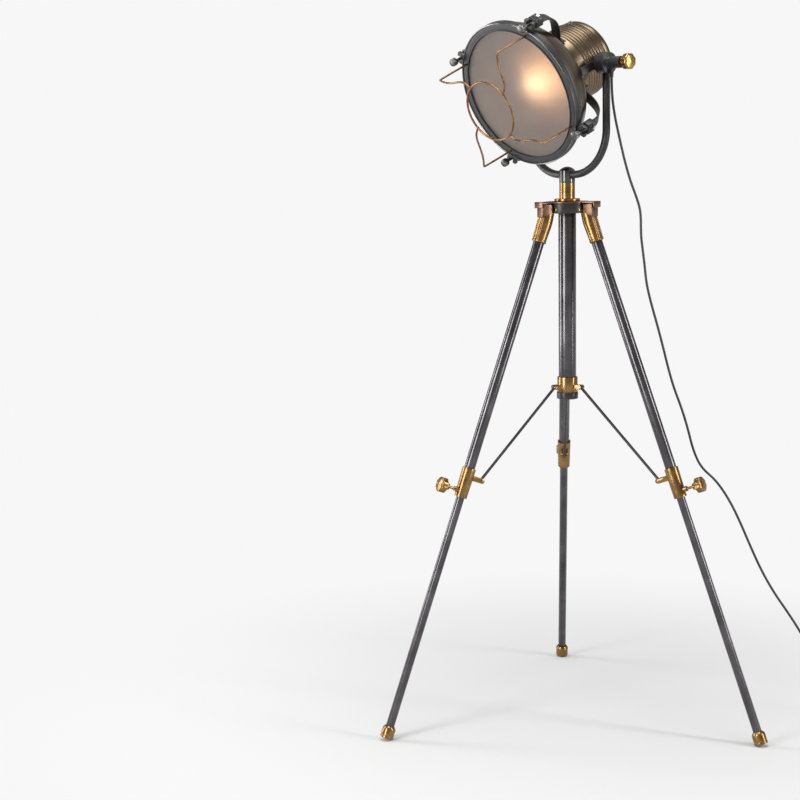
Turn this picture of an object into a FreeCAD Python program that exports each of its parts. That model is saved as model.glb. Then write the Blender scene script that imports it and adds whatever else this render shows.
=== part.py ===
"""Tripod floor lamp with a tilting searchlight head, as a parametric document.

Row frame, in millimetres: the origin lies on the floor under the column's axis, +Z is up, the
head's tilt axis is parallel to X and the head points towards -Y, tipped below the horizontal.
"""

import FreeCAD, Part
import math
import os
import re

import Sketcher
from FreeCAD import Placement, Rotation, Vector

# Driving dimensions, in millimetres and degrees.
SIZES = {
    # Legs. Places along a leg are counted from the knee point down the tube's axis.
    "leg_length": 1249.4,
    "leg_angle": 20.1,
    "tripod_turn": 17.2,
    "knee_radius": 48.0,
    "hinge_radius": 42.0,
    "hinge_pin_dia": 6.0,
    "hinge_pin_length": 45.0,
    "upper_tube_dia": 25.0,
    "upper_tube_wall": 1.5,
    "upper_tube_start": 30.0,
    "lower_tube_dia": 19.0,
    "lower_tube_wall": 1.5,
    "lower_tube_overlap": 100.0,
    "guide_ring_length": 12.0,
    "elbow_width": 30.0,
    "elbow_eye_dia": 22.0,
    "elbow_reach": 29.0,
    "elbow_socket_dia": 36.0,
    "elbow_mouth_dia": 30.0,
    "elbow_length": 78.0,
    "elbow_seat": 18.0,
    "elbow_shoulder_drop": 20.0,
    "elbow_top": 10.0,
    "sleeve_start": 612.0,
    "sleeve_length": 69.0,
    "sleeve_guide_length": 29.0,
    "sleeve_top_dia": 31.2,
    "sleeve_foot_dia": 28.8,
    "foot_dia": 30.0,
    "foot_length": 28.0,
    "foot_floor": 6.0,
    "foot_edge": 1.0,
    # Fits
    "running_gap": 0.05,
    "side_gap": 0.5,
    # Clamp knobs
    "knob_dia": 35.0,
    "knob_length": 15.0,
    "knob_neck_dia": 15.0,
    "knob_neck_length": 9.0,
    "knob_dish_dia": 7.0,
    "knob_dish_offset": 1.2,
    "knob_dish_count": 8.0,
    "knob_dome": 2.5,
    "knob_screw_dia": 6.0,
    "knob_place": 666.0,
    "knob_standoff": 38.0,
    "knob_boss_dia": 12.0,
    "knob_boss_end": 22.0,
    # Spreader linkage
    "ear_place": 632.0,
    "ear_offset": 37.0,
    "ear_width": 18.0,
    "ear_dia": 12.0,
    "ear_rivet_dia": 7.0,
    "ear_rivet_length": 1.5,
    "strut_dia": 6.5,
    "strut_eye_dia": 11.0,
    "strut_eye_width": 6.4,
    "strut_angle": 44.5,
    "collar_dia": 46.4,
    "collar_length": 34.5,
    "collar_pivot_radius": 34.0,
    "collar_pivot_height": 12.0,
    "collar_pin_dia": 5.0,
    # Column and hub
    "column_dia": 40.0,
    "column_wall": 2.0,
    "end_ring_dia": 49.0,
    "end_ring_length": 16.0,
    "hub_dia": 94.0,
    "hub_above_hinge": 14.0,
    "hub_below_hinge": 8.5,
    "hub_slot_root": 29.0,
    "hub_socket_depth": 18.0,
    "plate_thickness": 4.0,
    "plate_arm_width": 33.0,
    "plate_arm_reach": 76.0,
    "plate_centre_dia": 98.0,
    "plate_lip_depth": 10.0,
    "plate_lip_thickness": 2.5,
    "flange_dia": 58.0,
    "flange_thickness": 6.0,
    "stem_dia": 35.0,
    "stem_length": 36.0,
    "spigot_dia": 26.0,
    "spigot_length": 30.0,
    "cap_dia": 36.0,
    "cap_length": 36.0,
    "cap_dome": 9.0,
    # Yoke
    "yoke_tube_dia": 17.0,
    "yoke_tube_wall": 2.0,
    "yoke_half_width": 122.0,
    "yoke_bend": 100.0,
    "yoke_drop": 243.0,
    "boss_dia": 47.0,
    "boss_inner": 104.0,
    "boss_outer": 132.0,
    "boss_neck_dia": 26.0,
    "boss_neck_end": 168.0,
    "gland_place": 138.0,
    "gland_dia": 10.0,
    "gland_length": 20.0,
    # Head. Places along the head's axis are counted forwards from the tilt pivot.
    "head_tilt": 23.3,
    "housing_dia": 168.0,
    "housing_wall": 2.0,
    "housing_back": 44.0,
    "housing_front": 58.0,
    "rib_count": 7.0,
    "rib_pitch": 8.5,
    "rib_depth": 2.5,
    "rib_start": 34.0,
    "tail_length": 21.0,
    "tail_round": 13.0,
    "bell_dia": 322.0,
    "bell_wall": 1.6,
    "bell_round": 112.0,
    "bell_front": 154.0,
    "rim_dia": 335.4,
    "rim_back": 146.0,
    "rim_front": 165.6,
    "rim_opening": 298.0,
    "rim_wall": 5.5,
    "rim_flange": 3.0,
    "glass_dia": 314.0,
    "glass_thickness": 4.0,
    "gasket_thickness": 1.6,
    "reflector_mouth_dia": 300.0,
    "reflector_neck_dia": 64.0,
    "reflector_back": 40.0,
    "reflector_wall": 1.2,
    "reflector_round": 210.0,
    "holder_dia": 44.0,
    "holder_back": 22.0,
    "holder_front": 24.0,
    "holder_plate_thickness": 3.0,
    "bulb_cap_dia": 27.0,
    "bulb_cap_length": 22.0,
    "bulb_dia": 60.0,
    "bulb_centre": 82.0,
    "stud_dia": 12.0,
    "stud_end": 180.0,
    "bar_width": 18.0,
    "bar_thickness": 6.0,
    "bar_back": 14.0,
    "bar_front": 50.0,
    # Rim clamps and guard
    "clamp_turn": 59.0,
    "clamp_radius": 180.2,
    "strap_tail": 28.0,
    "strap_rise": 46.0,
    "strap_straight": 26.0,
    "strap_width": 26.0,
    "strap_thickness": 3.0,
    "block_back": 124.0,
    "block_front": 146.0,
    "block_depth": 17.0,
    "block_groove": 2.0,
    "block_groove_start": 10.0,
    "block_groove_pitch": 5.0,
    "block_corner": 2.5,
    "lug_back": 150.0,
    "lug_front": 159.0,
    "lug_outer": 189.0,
    "lug_slot_width": 8.0,
    "clamp_screw_dia": 6.0,
    "clamp_screw_back": 130.0,
    "clamp_head_dia": 18.0,
    "clamp_head_back": 174.0,
    "clamp_head_length": 11.0,
    "small_screw_dia": 8.0,
    "small_screw_height": 2.5,
    "guard_wire_dia": 4.5,
    "guard_foot_radius": 154.5,
    "guard_front": 254.0,
    "guard_ring_radius": 67.6,
    "guard_join_turn": 25.0,
    # Cord
    "cord_dia": 5.5,
    "coil_turn_dia": 62.0,
    "coil_height": 11.0,
    "coil_band": 17.0,
    "tie_width": 12.0,
    "tie_thickness": 1.2,
    "plug_length": 40.0,
    "plug_width": 34.0,
    "plug_height": 14.0,
    "plug_neck_dia": 9.0,
    "plug_neck_length": 26.0,
    "plug_offset": 18.0,
    "plug_chamfer": 3.0,
    "plug_pin_dia": 4.8,
    "plug_pin_length": 19.0,
    "plug_pin_spacing": 19.0,
}

LEGS = ("right", "left", "back")
LEG_TURNS = (0.0, 240.0, 120.0)
CLAMP_TURNS = (0.0, 90.0, 180.0, 270.0)

# The cord's route from the gland to the coil, in the row frame, chosen by hand.
UPPER_ROUTE = (
    (138.0, 0.0, 1467.5),
    (138.0, 0.0, 1435.0),
    (143.0, 3.0, 1388.0),
    (149.0, 12.0, 1338.0),
    (155.0, 22.0, 1288.0),
    (162.0, 34.0, 1240.0),
    (170.0, 47.5, 1200.0),
    (174.3, 54.7, 1170.0),
    (174.3, 54.7, 1146.0),
)
LOWER_ROUTE = (
    (174.3, 54.7, 1146.0),
    (174.3, 54.7, 1122.0),
    (176.4, 58.1, 1090.0),
    (178.9, 62.4, 1052.0),
    (181.0, 65.9, 1012.0),
    (186.6, 75.3, 968.0),
    (193.7, 87.4, 920.0),
    (200.4, 98.5, 872.0),
    (206.5, 108.9, 824.0),
    (213.6, 120.9, 776.0),
    (222.8, 136.4, 730.0),
    (230.5, 149.3, 682.0),
    (236.6, 159.6, 634.0),
    (246.3, 175.9, 592.0),
    (264.7, 206.9, 561.0),
    (281.5, 235.3, 511.0),
    (294.8, 257.6, 457.0),
    (307.0, 278.3, 401.0),
    (320.3, 300.6, 345.0),
    (335.6, 326.4, 293.0),
    (350.9, 352.2, 250.0),
    (365.2, 376.3, 207.0),
    (379.5, 400.4, 158.0),
    (392.8, 422.7, 110.0),
    (407.1, 446.8, 66.0),
    (423.4, 474.3, 32.0),
    (442.3, 506.2, 11.0),
    (462.2, 539.7, 2.8),
    (476.5, 563.8, 2.8),
)
COIL_CENTRE = (449.8, 579.6)

# How the strap's three bends and the guard wire's four bends are rounded, and how far each corner of
# the guard wire lies inside its foot and beside it.
STRAP_RADII = (9.0, 60.0, 30.0)
GUARD_RADII = (11.0, 30.0, 26.0, 9.0)
GUARD_CORNERS = ((1.0, 0.0), (30.0, 7.5), (56.0, 25.0), (74.0, 33.0))

doc = FreeCAD.newDocument("tripod_floor_lamp")
sheet = doc.addObject("Spreadsheet::Sheet", "sizes")
for row, (alias, size) in enumerate(SIZES.items(), start=1):
    sheet.set(f"A{row}", alias)
    sheet.set(f"B{row}", str(size))
    sheet.setAlias(f"B{row}", alias)
doc.recompute()

subparts = {}


def bound(text):
    """Return an expression in which every driving dimension names its sheet cell."""
    return re.sub(r"[a-z][a-z_]*[a-z]", lambda word: f"sizes.{word.group()}"
                  if word.group() in SIZES else word.group(), text)


def value(text):
    """Return the number that an expression of driving dimensions comes to."""
    return float(sheet.evalExpression(text))


def at(x="0", y="0", z="0", rotation=Rotation()):
    """Return the placement at a point given by three expressions."""
    return Placement(Vector(value(x), value(y), value(z)), rotation)


def primitive(kind, placement, **sizes):
    """Add a Part primitive whose sizes are bound to the sheet."""
    solid = doc.addObject(f"Part::{kind}", kind.lower())
    for prop, text in sizes.items():
        solid.setExpression(prop, bound(text))
    solid.Placement = placement
    return solid


def cylinder(dia, length, placement=Placement()):
    return primitive("Cylinder", placement, Radius=f"({dia}) / 2", Height=length)


def cone(dia_low, dia_high, length, placement=Placement()):
    return primitive("Cone", placement, Radius1=f"({dia_low}) / 2", Radius2=f"({dia_high}) / 2",
                     Height=length)


def block(length, width, height, placement=Placement()):
    """Add a box centred on its placement in X and Y, standing on it in Z."""
    centred = placement.multiply(at(f"-({length}) / 2", f"-({width}) / 2"))
    return primitive("Box", centred, Length=length, Width=width, Height=height)


def cut(base, *tools):
    """Subtract one or more solids from a base."""
    result = doc.addObject("Part::Cut", "cut")
    result.Base = base
    result.Tool = tools[0] if len(tools) == 1 else fuse(*tools)
    return result


def fuse(*solids):
    """Join solids into one."""
    result = doc.addObject("Part::MultiFuse", "fuse")
    result.Shapes = list(solids)
    result.Refine = True
    return result


def group(*solids):
    """Keep several separate solids together as one object."""
    result = doc.addObject("Part::Compound", "group")
    result.Links = list(solids)
    return result


def keep(label, solid, placement=Placement()):
    """Give a finished sub-part its name and its place in the row frame."""
    solid.Label = label
    solid.Placement = placement.multiply(solid.Placement)
    subparts[label] = solid
    return solid


def feature(label, shape, placement=Placement()):
    """Add a sub-part whose shape comes from Part's own functions."""
    solid = doc.addObject("Part::Feature", label)
    solid.Shape = shape
    return keep(label, solid, placement)


def origin_plane(body, role):
    """Return one of a body's own origin planes by its role."""
    return next(plane for plane in body.Origin.OriginFeatures if plane.Role == role)


def hold(sketch, geometry, end, text, kind, axis):
    """Tie one coordinate of a sketch point to an expression."""
    number = value(text)
    if abs(number) < 1e-9:
        sketch.addConstraint(Sketcher.Constraint("PointOnObject", geometry, end, axis))
        return
    index = sketch.addConstraint(Sketcher.Constraint(kind, -1, 1, geometry, end, number))
    sketch.setExpression(f"Constraints[{index}]", bound(text))


def draw(sketch, outline):
    """Draw a closed outline of (x, y, arc) corners; arc is None or (radius, turn) of the next edge."""
    corners = [Vector(value(x), value(y), 0) for x, y, arc in outline]
    edges = []
    for index, (x, y, arc) in enumerate(outline):
        start = corners[index]
        end = corners[(index + 1) % len(corners)]
        if arc is None:
            edges.append((sketch.addGeometry(Part.LineSegment(start, end)), 1, 2))
            continue
        radius, turn = value(arc[0]), arc[1]
        chord = end - start
        side = Vector(-chord.y, chord.x, 0).normalize() * turn
        centre = (start + end) * 0.5 + side * math.sqrt(radius ** 2 - (chord.Length / 2) ** 2)
        first, last = (start, end) if turn > 0 else (end, start)
        angles = [math.atan2(point.y - centre.y, point.x - centre.x) for point in (first, last)]
        circle = Part.Circle(centre, Vector(0, 0, 1), radius)
        edge = sketch.addGeometry(Part.ArcOfCircle(circle, angles[0], angles[1]))
        edges.append((edge, 1, 2) if turn > 0 else (edge, 2, 1))
    for index, (edge, first, last) in enumerate(edges):
        following = edges[(index + 1) % len(edges)]
        sketch.addConstraint(Sketcher.Constraint("Coincident", edge, last, following[0], following[1]))
    for (edge, first, last), (x, y, arc) in zip(edges, outline):
        hold(sketch, edge, first, x, "DistanceX", -2)
        hold(sketch, edge, first, y, "DistanceY", -1)
        if arc is not None:
            index = sketch.addConstraint(Sketcher.Constraint("Radius", edge, value(arc[0])))
            sketch.setExpression(f"Constraints[{index}]", bound(arc[0]))


def turned(label, outline, placement=Placement()):
    """Make a body by turning an outline of (radius, height) corners about its Z axis."""
    body = doc.addObject("PartDesign::Body", label)
    sketch = body.newObject("Sketcher::SketchObject", f"{label}_outline")
    sketch.AttachmentSupport = (origin_plane(body, "XZ_Plane"), [""])
    sketch.MapMode = "FlatFace"
    draw(sketch, outline)
    doc.recompute()
    turn = body.newObject("PartDesign::Revolution", f"{label}_turn")
    turn.Profile = sketch
    turn.ReferenceAxis = (sketch, ["V_Axis"])
    turn.Angle = 360.0
    body.Tip = turn
    return keep(label, body, placement)


def bend_radii(points):
    """Return each corner's arc radius: 0.45 of its shorter run over the tangent of half its turn."""
    radii = []
    for before, here, after in zip(points, points[1:], points[2:]):
        turn = (here - before).getAngle(after - here)
        shorter = min((here - before).Length, (after - here).Length)
        radii.append(0.45 * shorter / math.tan(turn / 2))
    return radii


def rounded_path(points, radii):
    """Return a wire of straight runs joined by tangent arcs."""
    edges = []
    start = points[0]
    for before, here, after, radius in zip(points, points[1:], points[2:], radii):
        into = (here - before).normalize()
        away = (after - here).normalize()
        half_turn = into.getAngle(away) / 2
        setback = radius * math.tan(half_turn)
        first = here - into * setback
        last = here + away * setback
        middle_direction = (away - into).normalize()
        middle = here + middle_direction * radius * (1 / math.cos(half_turn) - 1)
        edges.append(Part.LineSegment(start, first).toShape())
        edges.append(Part.Arc(first, middle, last).toShape())
        start = last
    edges.append(Part.LineSegment(start, points[-1]).toShape())
    return Part.Wire(edges)


def round_section(path, dia):
    """Return a circle around the start of a path, square to it."""
    first = path.Edges[0]
    start = first.valueAt(first.FirstParameter)
    tangent = first.tangentAt(first.FirstParameter)
    return Part.Wire(Part.makeCircle(dia / 2, start, tangent))


def tube(path, dia):
    """Sweep a round section along a path into a solid."""
    return path.makePipeShell([round_section(path, dia)], True, False)


def turned_copies(shape, turns):
    """Return copies of a shape turned about the Z axis, as one compound of separate solids."""
    return Part.makeCompound([shape.copy().rotate(Vector(), Vector(0, 0, 1), turn) for turn in turns])


# --------------------------------------------------------------------------- reference places

KNEE_Z = value("leg_length * cos(leg_angle) + (foot_dia / 2 - foot_edge) * sin(leg_angle)")
HUB_TOP = KNEE_Z + value("hub_above_hinge")
HUB_BASE = KNEE_Z - value("hub_below_hinge")
PLATE_TOP = HUB_TOP + value("plate_thickness")
STEM_TOP = PLATE_TOP + value("flange_thickness + stem_length")
YOKE_Z = STEM_TOP + value("cap_length / 2")
PIVOT_Z = YOKE_Z + value("yoke_drop")

# The strut's lower end when the legs are spread, in a leg's own vertical plane.
EAR_RADIUS = value("knee_radius + ear_place * sin(leg_angle) - ear_offset * cos(leg_angle)")
EAR_Z = KNEE_Z - value("ear_place * cos(leg_angle) + ear_offset * sin(leg_angle)")
STRUT_ANGLE = value("strut_angle")
STRUT_RUN = EAR_RADIUS - value("collar_pivot_radius")
STRUT_LENGTH = STRUT_RUN / math.sin(math.radians(STRUT_ANGLE))
COLLAR_PIVOT_Z = EAR_Z + STRUT_LENGTH * math.cos(math.radians(STRUT_ANGLE))
COLLAR_BASE = COLLAR_PIVOT_Z - value("collar_pivot_height")
COLUMN_END = COLLAR_BASE - value("end_ring_length")

HEAD_FRAME = Placement(Vector(0, 0, PIVOT_Z), Rotation(Vector(1, 0, 0), 90 + value("head_tilt")))
SIDEWAYS = Rotation(Vector(1, 0, 0), 90)
ALONG_X = Rotation(Vector(0, 1, 0), 90)


def leg_frame(turn):
    """Return a leg's upright frame: +X points outwards from the column."""
    return Placement(Vector(), Rotation(Vector(0, 0, 1), value("tripod_turn") + turn))


def tube_frame(turn):
    """Return the frame of a leg's tube: +Z runs down the leg and +X points back to the column."""
    lean = Placement(Vector(value("knee_radius"), 0, KNEE_Z),
                     Rotation(Vector(0, 1, 0), 180 - value("leg_angle")))
    return leg_frame(turn).multiply(lean)


# --------------------------------------------------------------------------- hub and column

def make_hub():
    """Make the slotted hub casting with its three hinge pins."""
    slot_width = "elbow_width + 2 * side_gap"
    height = "hub_above_hinge + hub_below_hinge"
    tools = [cylinder("column_dia", "hub_socket_depth", Placement(Vector(0, 0, HUB_BASE), Rotation()))]
    pins = []
    for turn in LEG_TURNS:
        slot_place = leg_frame(turn).multiply(at("hub_slot_root + hub_dia / 4", z=f"{HUB_BASE}"))
        tools.append(block("hub_dia / 2", slot_width, height, slot_place))
        pin_place = leg_frame(turn).multiply(
            at("hinge_radius", "hinge_pin_length / 2", f"{KNEE_Z}", SIDEWAYS))
        tools.append(cylinder("hinge_pin_dia", "hinge_pin_length", pin_place))
        pins.append(cylinder("hinge_pin_dia", "hinge_pin_length", pin_place))
    body = cylinder("hub_dia", height, Placement(Vector(0, 0, HUB_BASE), Rotation()))
    keep("hub_casting", cut(body, *tools))
    keep("hinge_pins", group(*pins))


def make_top_plate():
    """Make the three-armed plate on the hub, with a lip turned down at each arm's end."""
    base = Placement(Vector(0, 0, HUB_TOP), Rotation())
    pieces = [cylinder("plate_centre_dia", "plate_thickness", base)]
    for turn in LEG_TURNS:
        arm_place = leg_frame(turn).multiply(at("plate_arm_reach / 2", z=f"{HUB_TOP}"))
        pieces.append(block("plate_arm_reach", "plate_arm_width", "plate_thickness", arm_place))
        lip_place = leg_frame(turn).multiply(
            at("plate_arm_reach - plate_lip_thickness / 2", z=f"{HUB_TOP} - plate_lip_depth"))
        pieces.append(block("plate_lip_thickness", "plate_arm_width",
                            "plate_lip_depth + plate_thickness", lip_place))
    keep("hub_top_plate", fuse(*pieces))


def make_stem():
    """Make the flanged stem tube that carries the swivel."""
    inner = "spigot_dia / 2 + running_gap"
    top = "flange_thickness + stem_length"
    outline = (
        (inner, "0", None),
        ("flange_dia / 2", "0", None),
        ("flange_dia / 2", "flange_thickness - 1", None),
        ("flange_dia / 2 - 1", "flange_thickness", None),
        ("stem_dia / 2", "flange_thickness", None),
        ("stem_dia / 2", top, None),
        (inner, top, None),
    )
    turned("stem_tube", outline, Placement(Vector(0, 0, PLATE_TOP), Rotation()))


def make_column():
    """Make the column tube under the hub and the ring that closes its lower end."""
    length = f"{HUB_BASE - COLUMN_END} + hub_socket_depth"
    foot = Placement(Vector(0, 0, COLUMN_END), Rotation())
    outer = cylinder("column_dia", length, foot)
    bore = cylinder("column_dia - 2 * column_wall", length, foot)
    keep("column_tube", cut(outer, bore))
    ring = (
        ("column_dia / 2", "0", None),
        ("end_ring_dia / 2 - 1.5", "0", None),
        ("end_ring_dia / 2", "1.5", None),
        ("end_ring_dia / 2", "end_ring_length", None),
        ("column_dia / 2", "end_ring_length", None),
    )
    turned("column_end_ring", ring, foot)


# --------------------------------------------------------------------------- spreader

def make_collar():
    """Make the sliding collar with three pairs of ears and their pins."""
    base = Placement(Vector(0, 0, COLLAR_BASE), Rotation())
    barrel = cylinder("collar_dia", "collar_length", base)
    reach = "collar_pivot_radius"
    pivot = f"{COLLAR_PIVOT_Z}"
    ears = [barrel]
    gaps = [cylinder("column_dia + 2 * running_gap", "collar_length", base)]
    pins = []
    for turn in LEG_TURNS:
        frame = leg_frame(turn)
        ears.append(block(reach, "ear_width", "ear_dia - 2", frame.multiply(
            at("collar_pivot_radius / 2", z=f"{pivot} - ear_dia / 2 + 1"))))
        ears.append(cylinder("ear_dia - 2", "ear_width", frame.multiply(
            at(reach, "ear_width / 2", pivot, SIDEWAYS))))
        gap_place = frame.multiply(at("collar_dia + 1.5", z=f"{pivot} - collar_length"))
        gaps.append(block("collar_dia", "strut_eye_width + 2 * side_gap", "collar_length * 2", gap_place))
        pin_place = frame.multiply(at(reach, "ear_width / 2", pivot, SIDEWAYS))
        gaps.append(cylinder("collar_pin_dia", "ear_width", pin_place))
        pins.append(cylinder("collar_pin_dia", "ear_width", pin_place))
    keep("spreader_collar", cut(fuse(*ears), *gaps))
    keep("collar_pins", group(*pins))


def make_strut(name, turn):
    """Make one strut: a round rod between a bored eye at the collar and a plain tongue at the leg."""
    pivot = at("0", "strut_eye_width / 2", "0", SIDEWAYS)
    rod_start = "collar_pin_dia / 2 + 1"
    rod = cylinder("strut_dia", f"{STRUT_LENGTH} - {rod_start}", at(z=rod_start))
    eye = cylinder("strut_eye_dia", "strut_eye_width", pivot)
    tongue_place = at("0", "strut_eye_width / 2", f"{STRUT_LENGTH}", SIDEWAYS)
    tongue = cylinder("strut_eye_dia", "strut_eye_width", tongue_place)
    bore = cylinder("collar_pin_dia + 2 * running_gap", "strut_eye_width", pivot)
    solid = cut(fuse(rod, eye, tongue), bore)
    frame = leg_frame(turn).multiply(Placement(
        Vector(value("collar_pivot_radius"), 0, COLLAR_PIVOT_Z),
        Rotation(Vector(0, 1, 0), 180 - STRUT_ANGLE)))
    keep(f"strut_{name}", solid, frame)


# --------------------------------------------------------------------------- legs

def make_elbow(name, turn):
    """Make the elbow casting: hinge eye, shoulder and the socket that holds the upper tube."""
    frame = leg_frame(turn)
    pin = frame.multiply(at("hinge_radius", "elbow_width / 2", f"{KNEE_Z}", SIDEWAYS))
    eye = cylinder("elbow_eye_dia", "elbow_width", pin)
    shoulder = block("elbow_reach", "elbow_width", "elbow_top + elbow_shoulder_drop", frame.multiply(
        at("hinge_radius + elbow_reach / 2", z=f"{KNEE_Z} - elbow_shoulder_drop")))
    seat_place = tube_frame(turn).multiply(at(z="elbow_seat"))
    socket = cone("elbow_socket_dia", "elbow_mouth_dia", "elbow_length - elbow_seat", seat_place)
    crown = primitive("Sphere", seat_place, Radius="elbow_socket_dia / 2")
    keep_out = block("plate_arm_reach * 2", "elbow_width * 3", "elbow_length", frame.multiply(
        at("plate_arm_reach", z=f"{KNEE_Z} + elbow_top")))
    bore = cylinder("hinge_pin_dia + 2 * running_gap", "elbow_width", pin)
    seat = cylinder("upper_tube_dia", "elbow_length", tube_frame(turn).multiply(at(z="upper_tube_start")))
    solid = cut(fuse(eye, shoulder, socket, crown), keep_out, bore, seat)
    keep(f"elbow_{name}", solid)


def make_upper_tube(name, turn):
    """Make the fixed upper tube of a leg, from the elbow to the sleeve's step."""
    frame = tube_frame(turn)
    length = "sleeve_start + sleeve_length - sleeve_guide_length - upper_tube_start"
    start = frame.multiply(at(z="upper_tube_start"))
    outer = cylinder("upper_tube_dia", length, start)
    bore = cylinder("upper_tube_dia - 2 * upper_tube_wall", length, start)
    keep(f"upper_tube_{name}", cut(outer, bore))


def make_sleeve(name, turn):
    """Make the sleeve at the upper tube's end, with the strut's fork and the clamp knob's boss."""
    frame = tube_frame(turn)
    start = frame.multiply(at(z="sleeve_start"))
    barrel = cone("sleeve_top_dia", "sleeve_foot_dia", "sleeve_length", start)
    fork = block("ear_offset", "ear_width", "ear_dia", frame.multiply(
        at("ear_offset / 2", z="ear_place - ear_dia / 2")))
    ends = cylinder("ear_dia", "ear_width", frame.multiply(
        at("ear_offset", "ear_width / 2", "ear_place", SIDEWAYS)))
    rivets = cylinder("ear_rivet_dia", "ear_width + 2 * ear_rivet_length", frame.multiply(
        at("ear_offset", "ear_width / 2 + ear_rivet_length", "ear_place", SIDEWAYS)))
    outwards = Rotation(Vector(0, 1, 0), -90)
    boss = cylinder("knob_boss_dia", "knob_boss_end", frame.multiply(at(z="knob_place", rotation=outwards)))
    fork_gap = block("ear_offset", "strut_eye_width + 2 * side_gap", "ear_dia * 3", frame.multiply(
        at("ear_offset / 2 + sleeve_top_dia / 2 + 1", z="ear_place - ear_dia * 1.5")))
    seat = cylinder("upper_tube_dia", "sleeve_length - sleeve_guide_length", start)
    guide = cylinder("lower_tube_dia + 2 * running_gap", "sleeve_length", start)
    thread = cylinder("knob_screw_dia + 2 * running_gap", "knob_boss_end", frame.multiply(
        at("-lower_tube_dia / 2 + 1", z="knob_place", rotation=outwards)))
    keep(f"sleeve_{name}", cut(fuse(barrel, fork, ends, rivets, boss), fork_gap, seat, guide, thread))


def make_lower_leg(name, turn):
    """Make the sliding lower tube, with the guide ring at its top, and the foot at its end."""
    frame = tube_frame(turn)
    top = "sleeve_start + sleeve_length - lower_tube_overlap"
    length = f"leg_length - foot_floor - ({top})"
    start = frame.multiply(at(z=top))
    rod = cylinder("lower_tube_dia", length, start)
    ring = cylinder("upper_tube_dia - 2 * upper_tube_wall - 2 * running_gap", "guide_ring_length", start)
    bore = cylinder("lower_tube_dia - 2 * lower_tube_wall", length, start)
    keep(f"lower_tube_{name}", cut(fuse(rod, ring), bore))
    outline = (
        ("0", "0", None),
        ("foot_dia / 2 - foot_edge", "0", None),
        ("foot_dia / 2", "foot_edge", None),
        ("foot_dia / 2", "foot_length - 2", None),
        ("foot_dia / 2 - 2", "foot_length", None),
        ("lower_tube_dia / 2", "foot_length", None),
        ("lower_tube_dia / 2", "foot_floor", None),
        ("0", "foot_floor", None),
    )
    upwards = Rotation(Vector(0, 1, 0), 180)
    turned(f"foot_{name}", outline, frame.multiply(at(z="leg_length", rotation=upwards)))


def knob_solid():
    """Return a lobed clamp knob on a conical neck, standing on its placement's XY plane."""
    neck = cone("knob_neck_dia", "knob_dia * 0.62", "knob_neck_length")
    body = cylinder("knob_dia", "knob_length", at(z="knob_neck_length"))
    dome = cone("knob_dia", "knob_dia * 0.7", "knob_dome", at(z="knob_neck_length + knob_length"))
    dishes = []
    dish_count = int(value("knob_dish_count"))
    for index in range(dish_count):
        spin = Placement(Vector(), Rotation(Vector(0, 0, 1), 360.0 * index / dish_count))
        dishes.append(cylinder("knob_dish_dia", "knob_length + knob_neck_length + 2 * knob_dome",
                               spin.multiply(at("knob_dia / 2 + knob_dish_offset", z="1"))))
    return cut(fuse(neck, body, dome), *dishes)


def make_leg_knob(name, turn):
    """Make the knob that locks a lower tube, with its screw."""
    outwards = Rotation(Vector(0, 1, 0), -90)
    screw = cylinder("knob_screw_dia", "knob_standoff - lower_tube_dia / 2 - side_gap + 2",
                     at(z="-knob_standoff + lower_tube_dia / 2 + side_gap"))
    frame = tube_frame(turn).multiply(at("-knob_standoff", z="knob_place", rotation=outwards))
    keep(f"leg_knob_{name}", fuse(knob_solid(), screw), frame)


# --------------------------------------------------------------------------- yoke

def make_swivel_cap():
    """Make the domed cap that turns on the stem and holds the yoke tube."""
    outline = (
        ("0", "-spigot_length", None),
        ("spigot_dia / 2", "-spigot_length", None),
        ("spigot_dia / 2", "0", None),
        ("cap_dia / 2", "0", None),
        ("cap_dia / 2", "cap_length - cap_dome", ("(cap_dia ^ 2 / 4 + cap_dome ^ 2) / (2 * cap_dome)", 1)),
        ("0", "cap_length", None),
    )
    cap = turned("swivel_cap_blank", outline, Placement(Vector(0, 0, STEM_TOP), Rotation()))
    del subparts["swivel_cap_blank"]
    hole = cylinder("yoke_tube_dia", "cap_dia * 2", Placement(
        Vector(-value("cap_dia"), 0, YOKE_Z), ALONG_X))
    keep("swivel_cap", cut(cap, hole))


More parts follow.
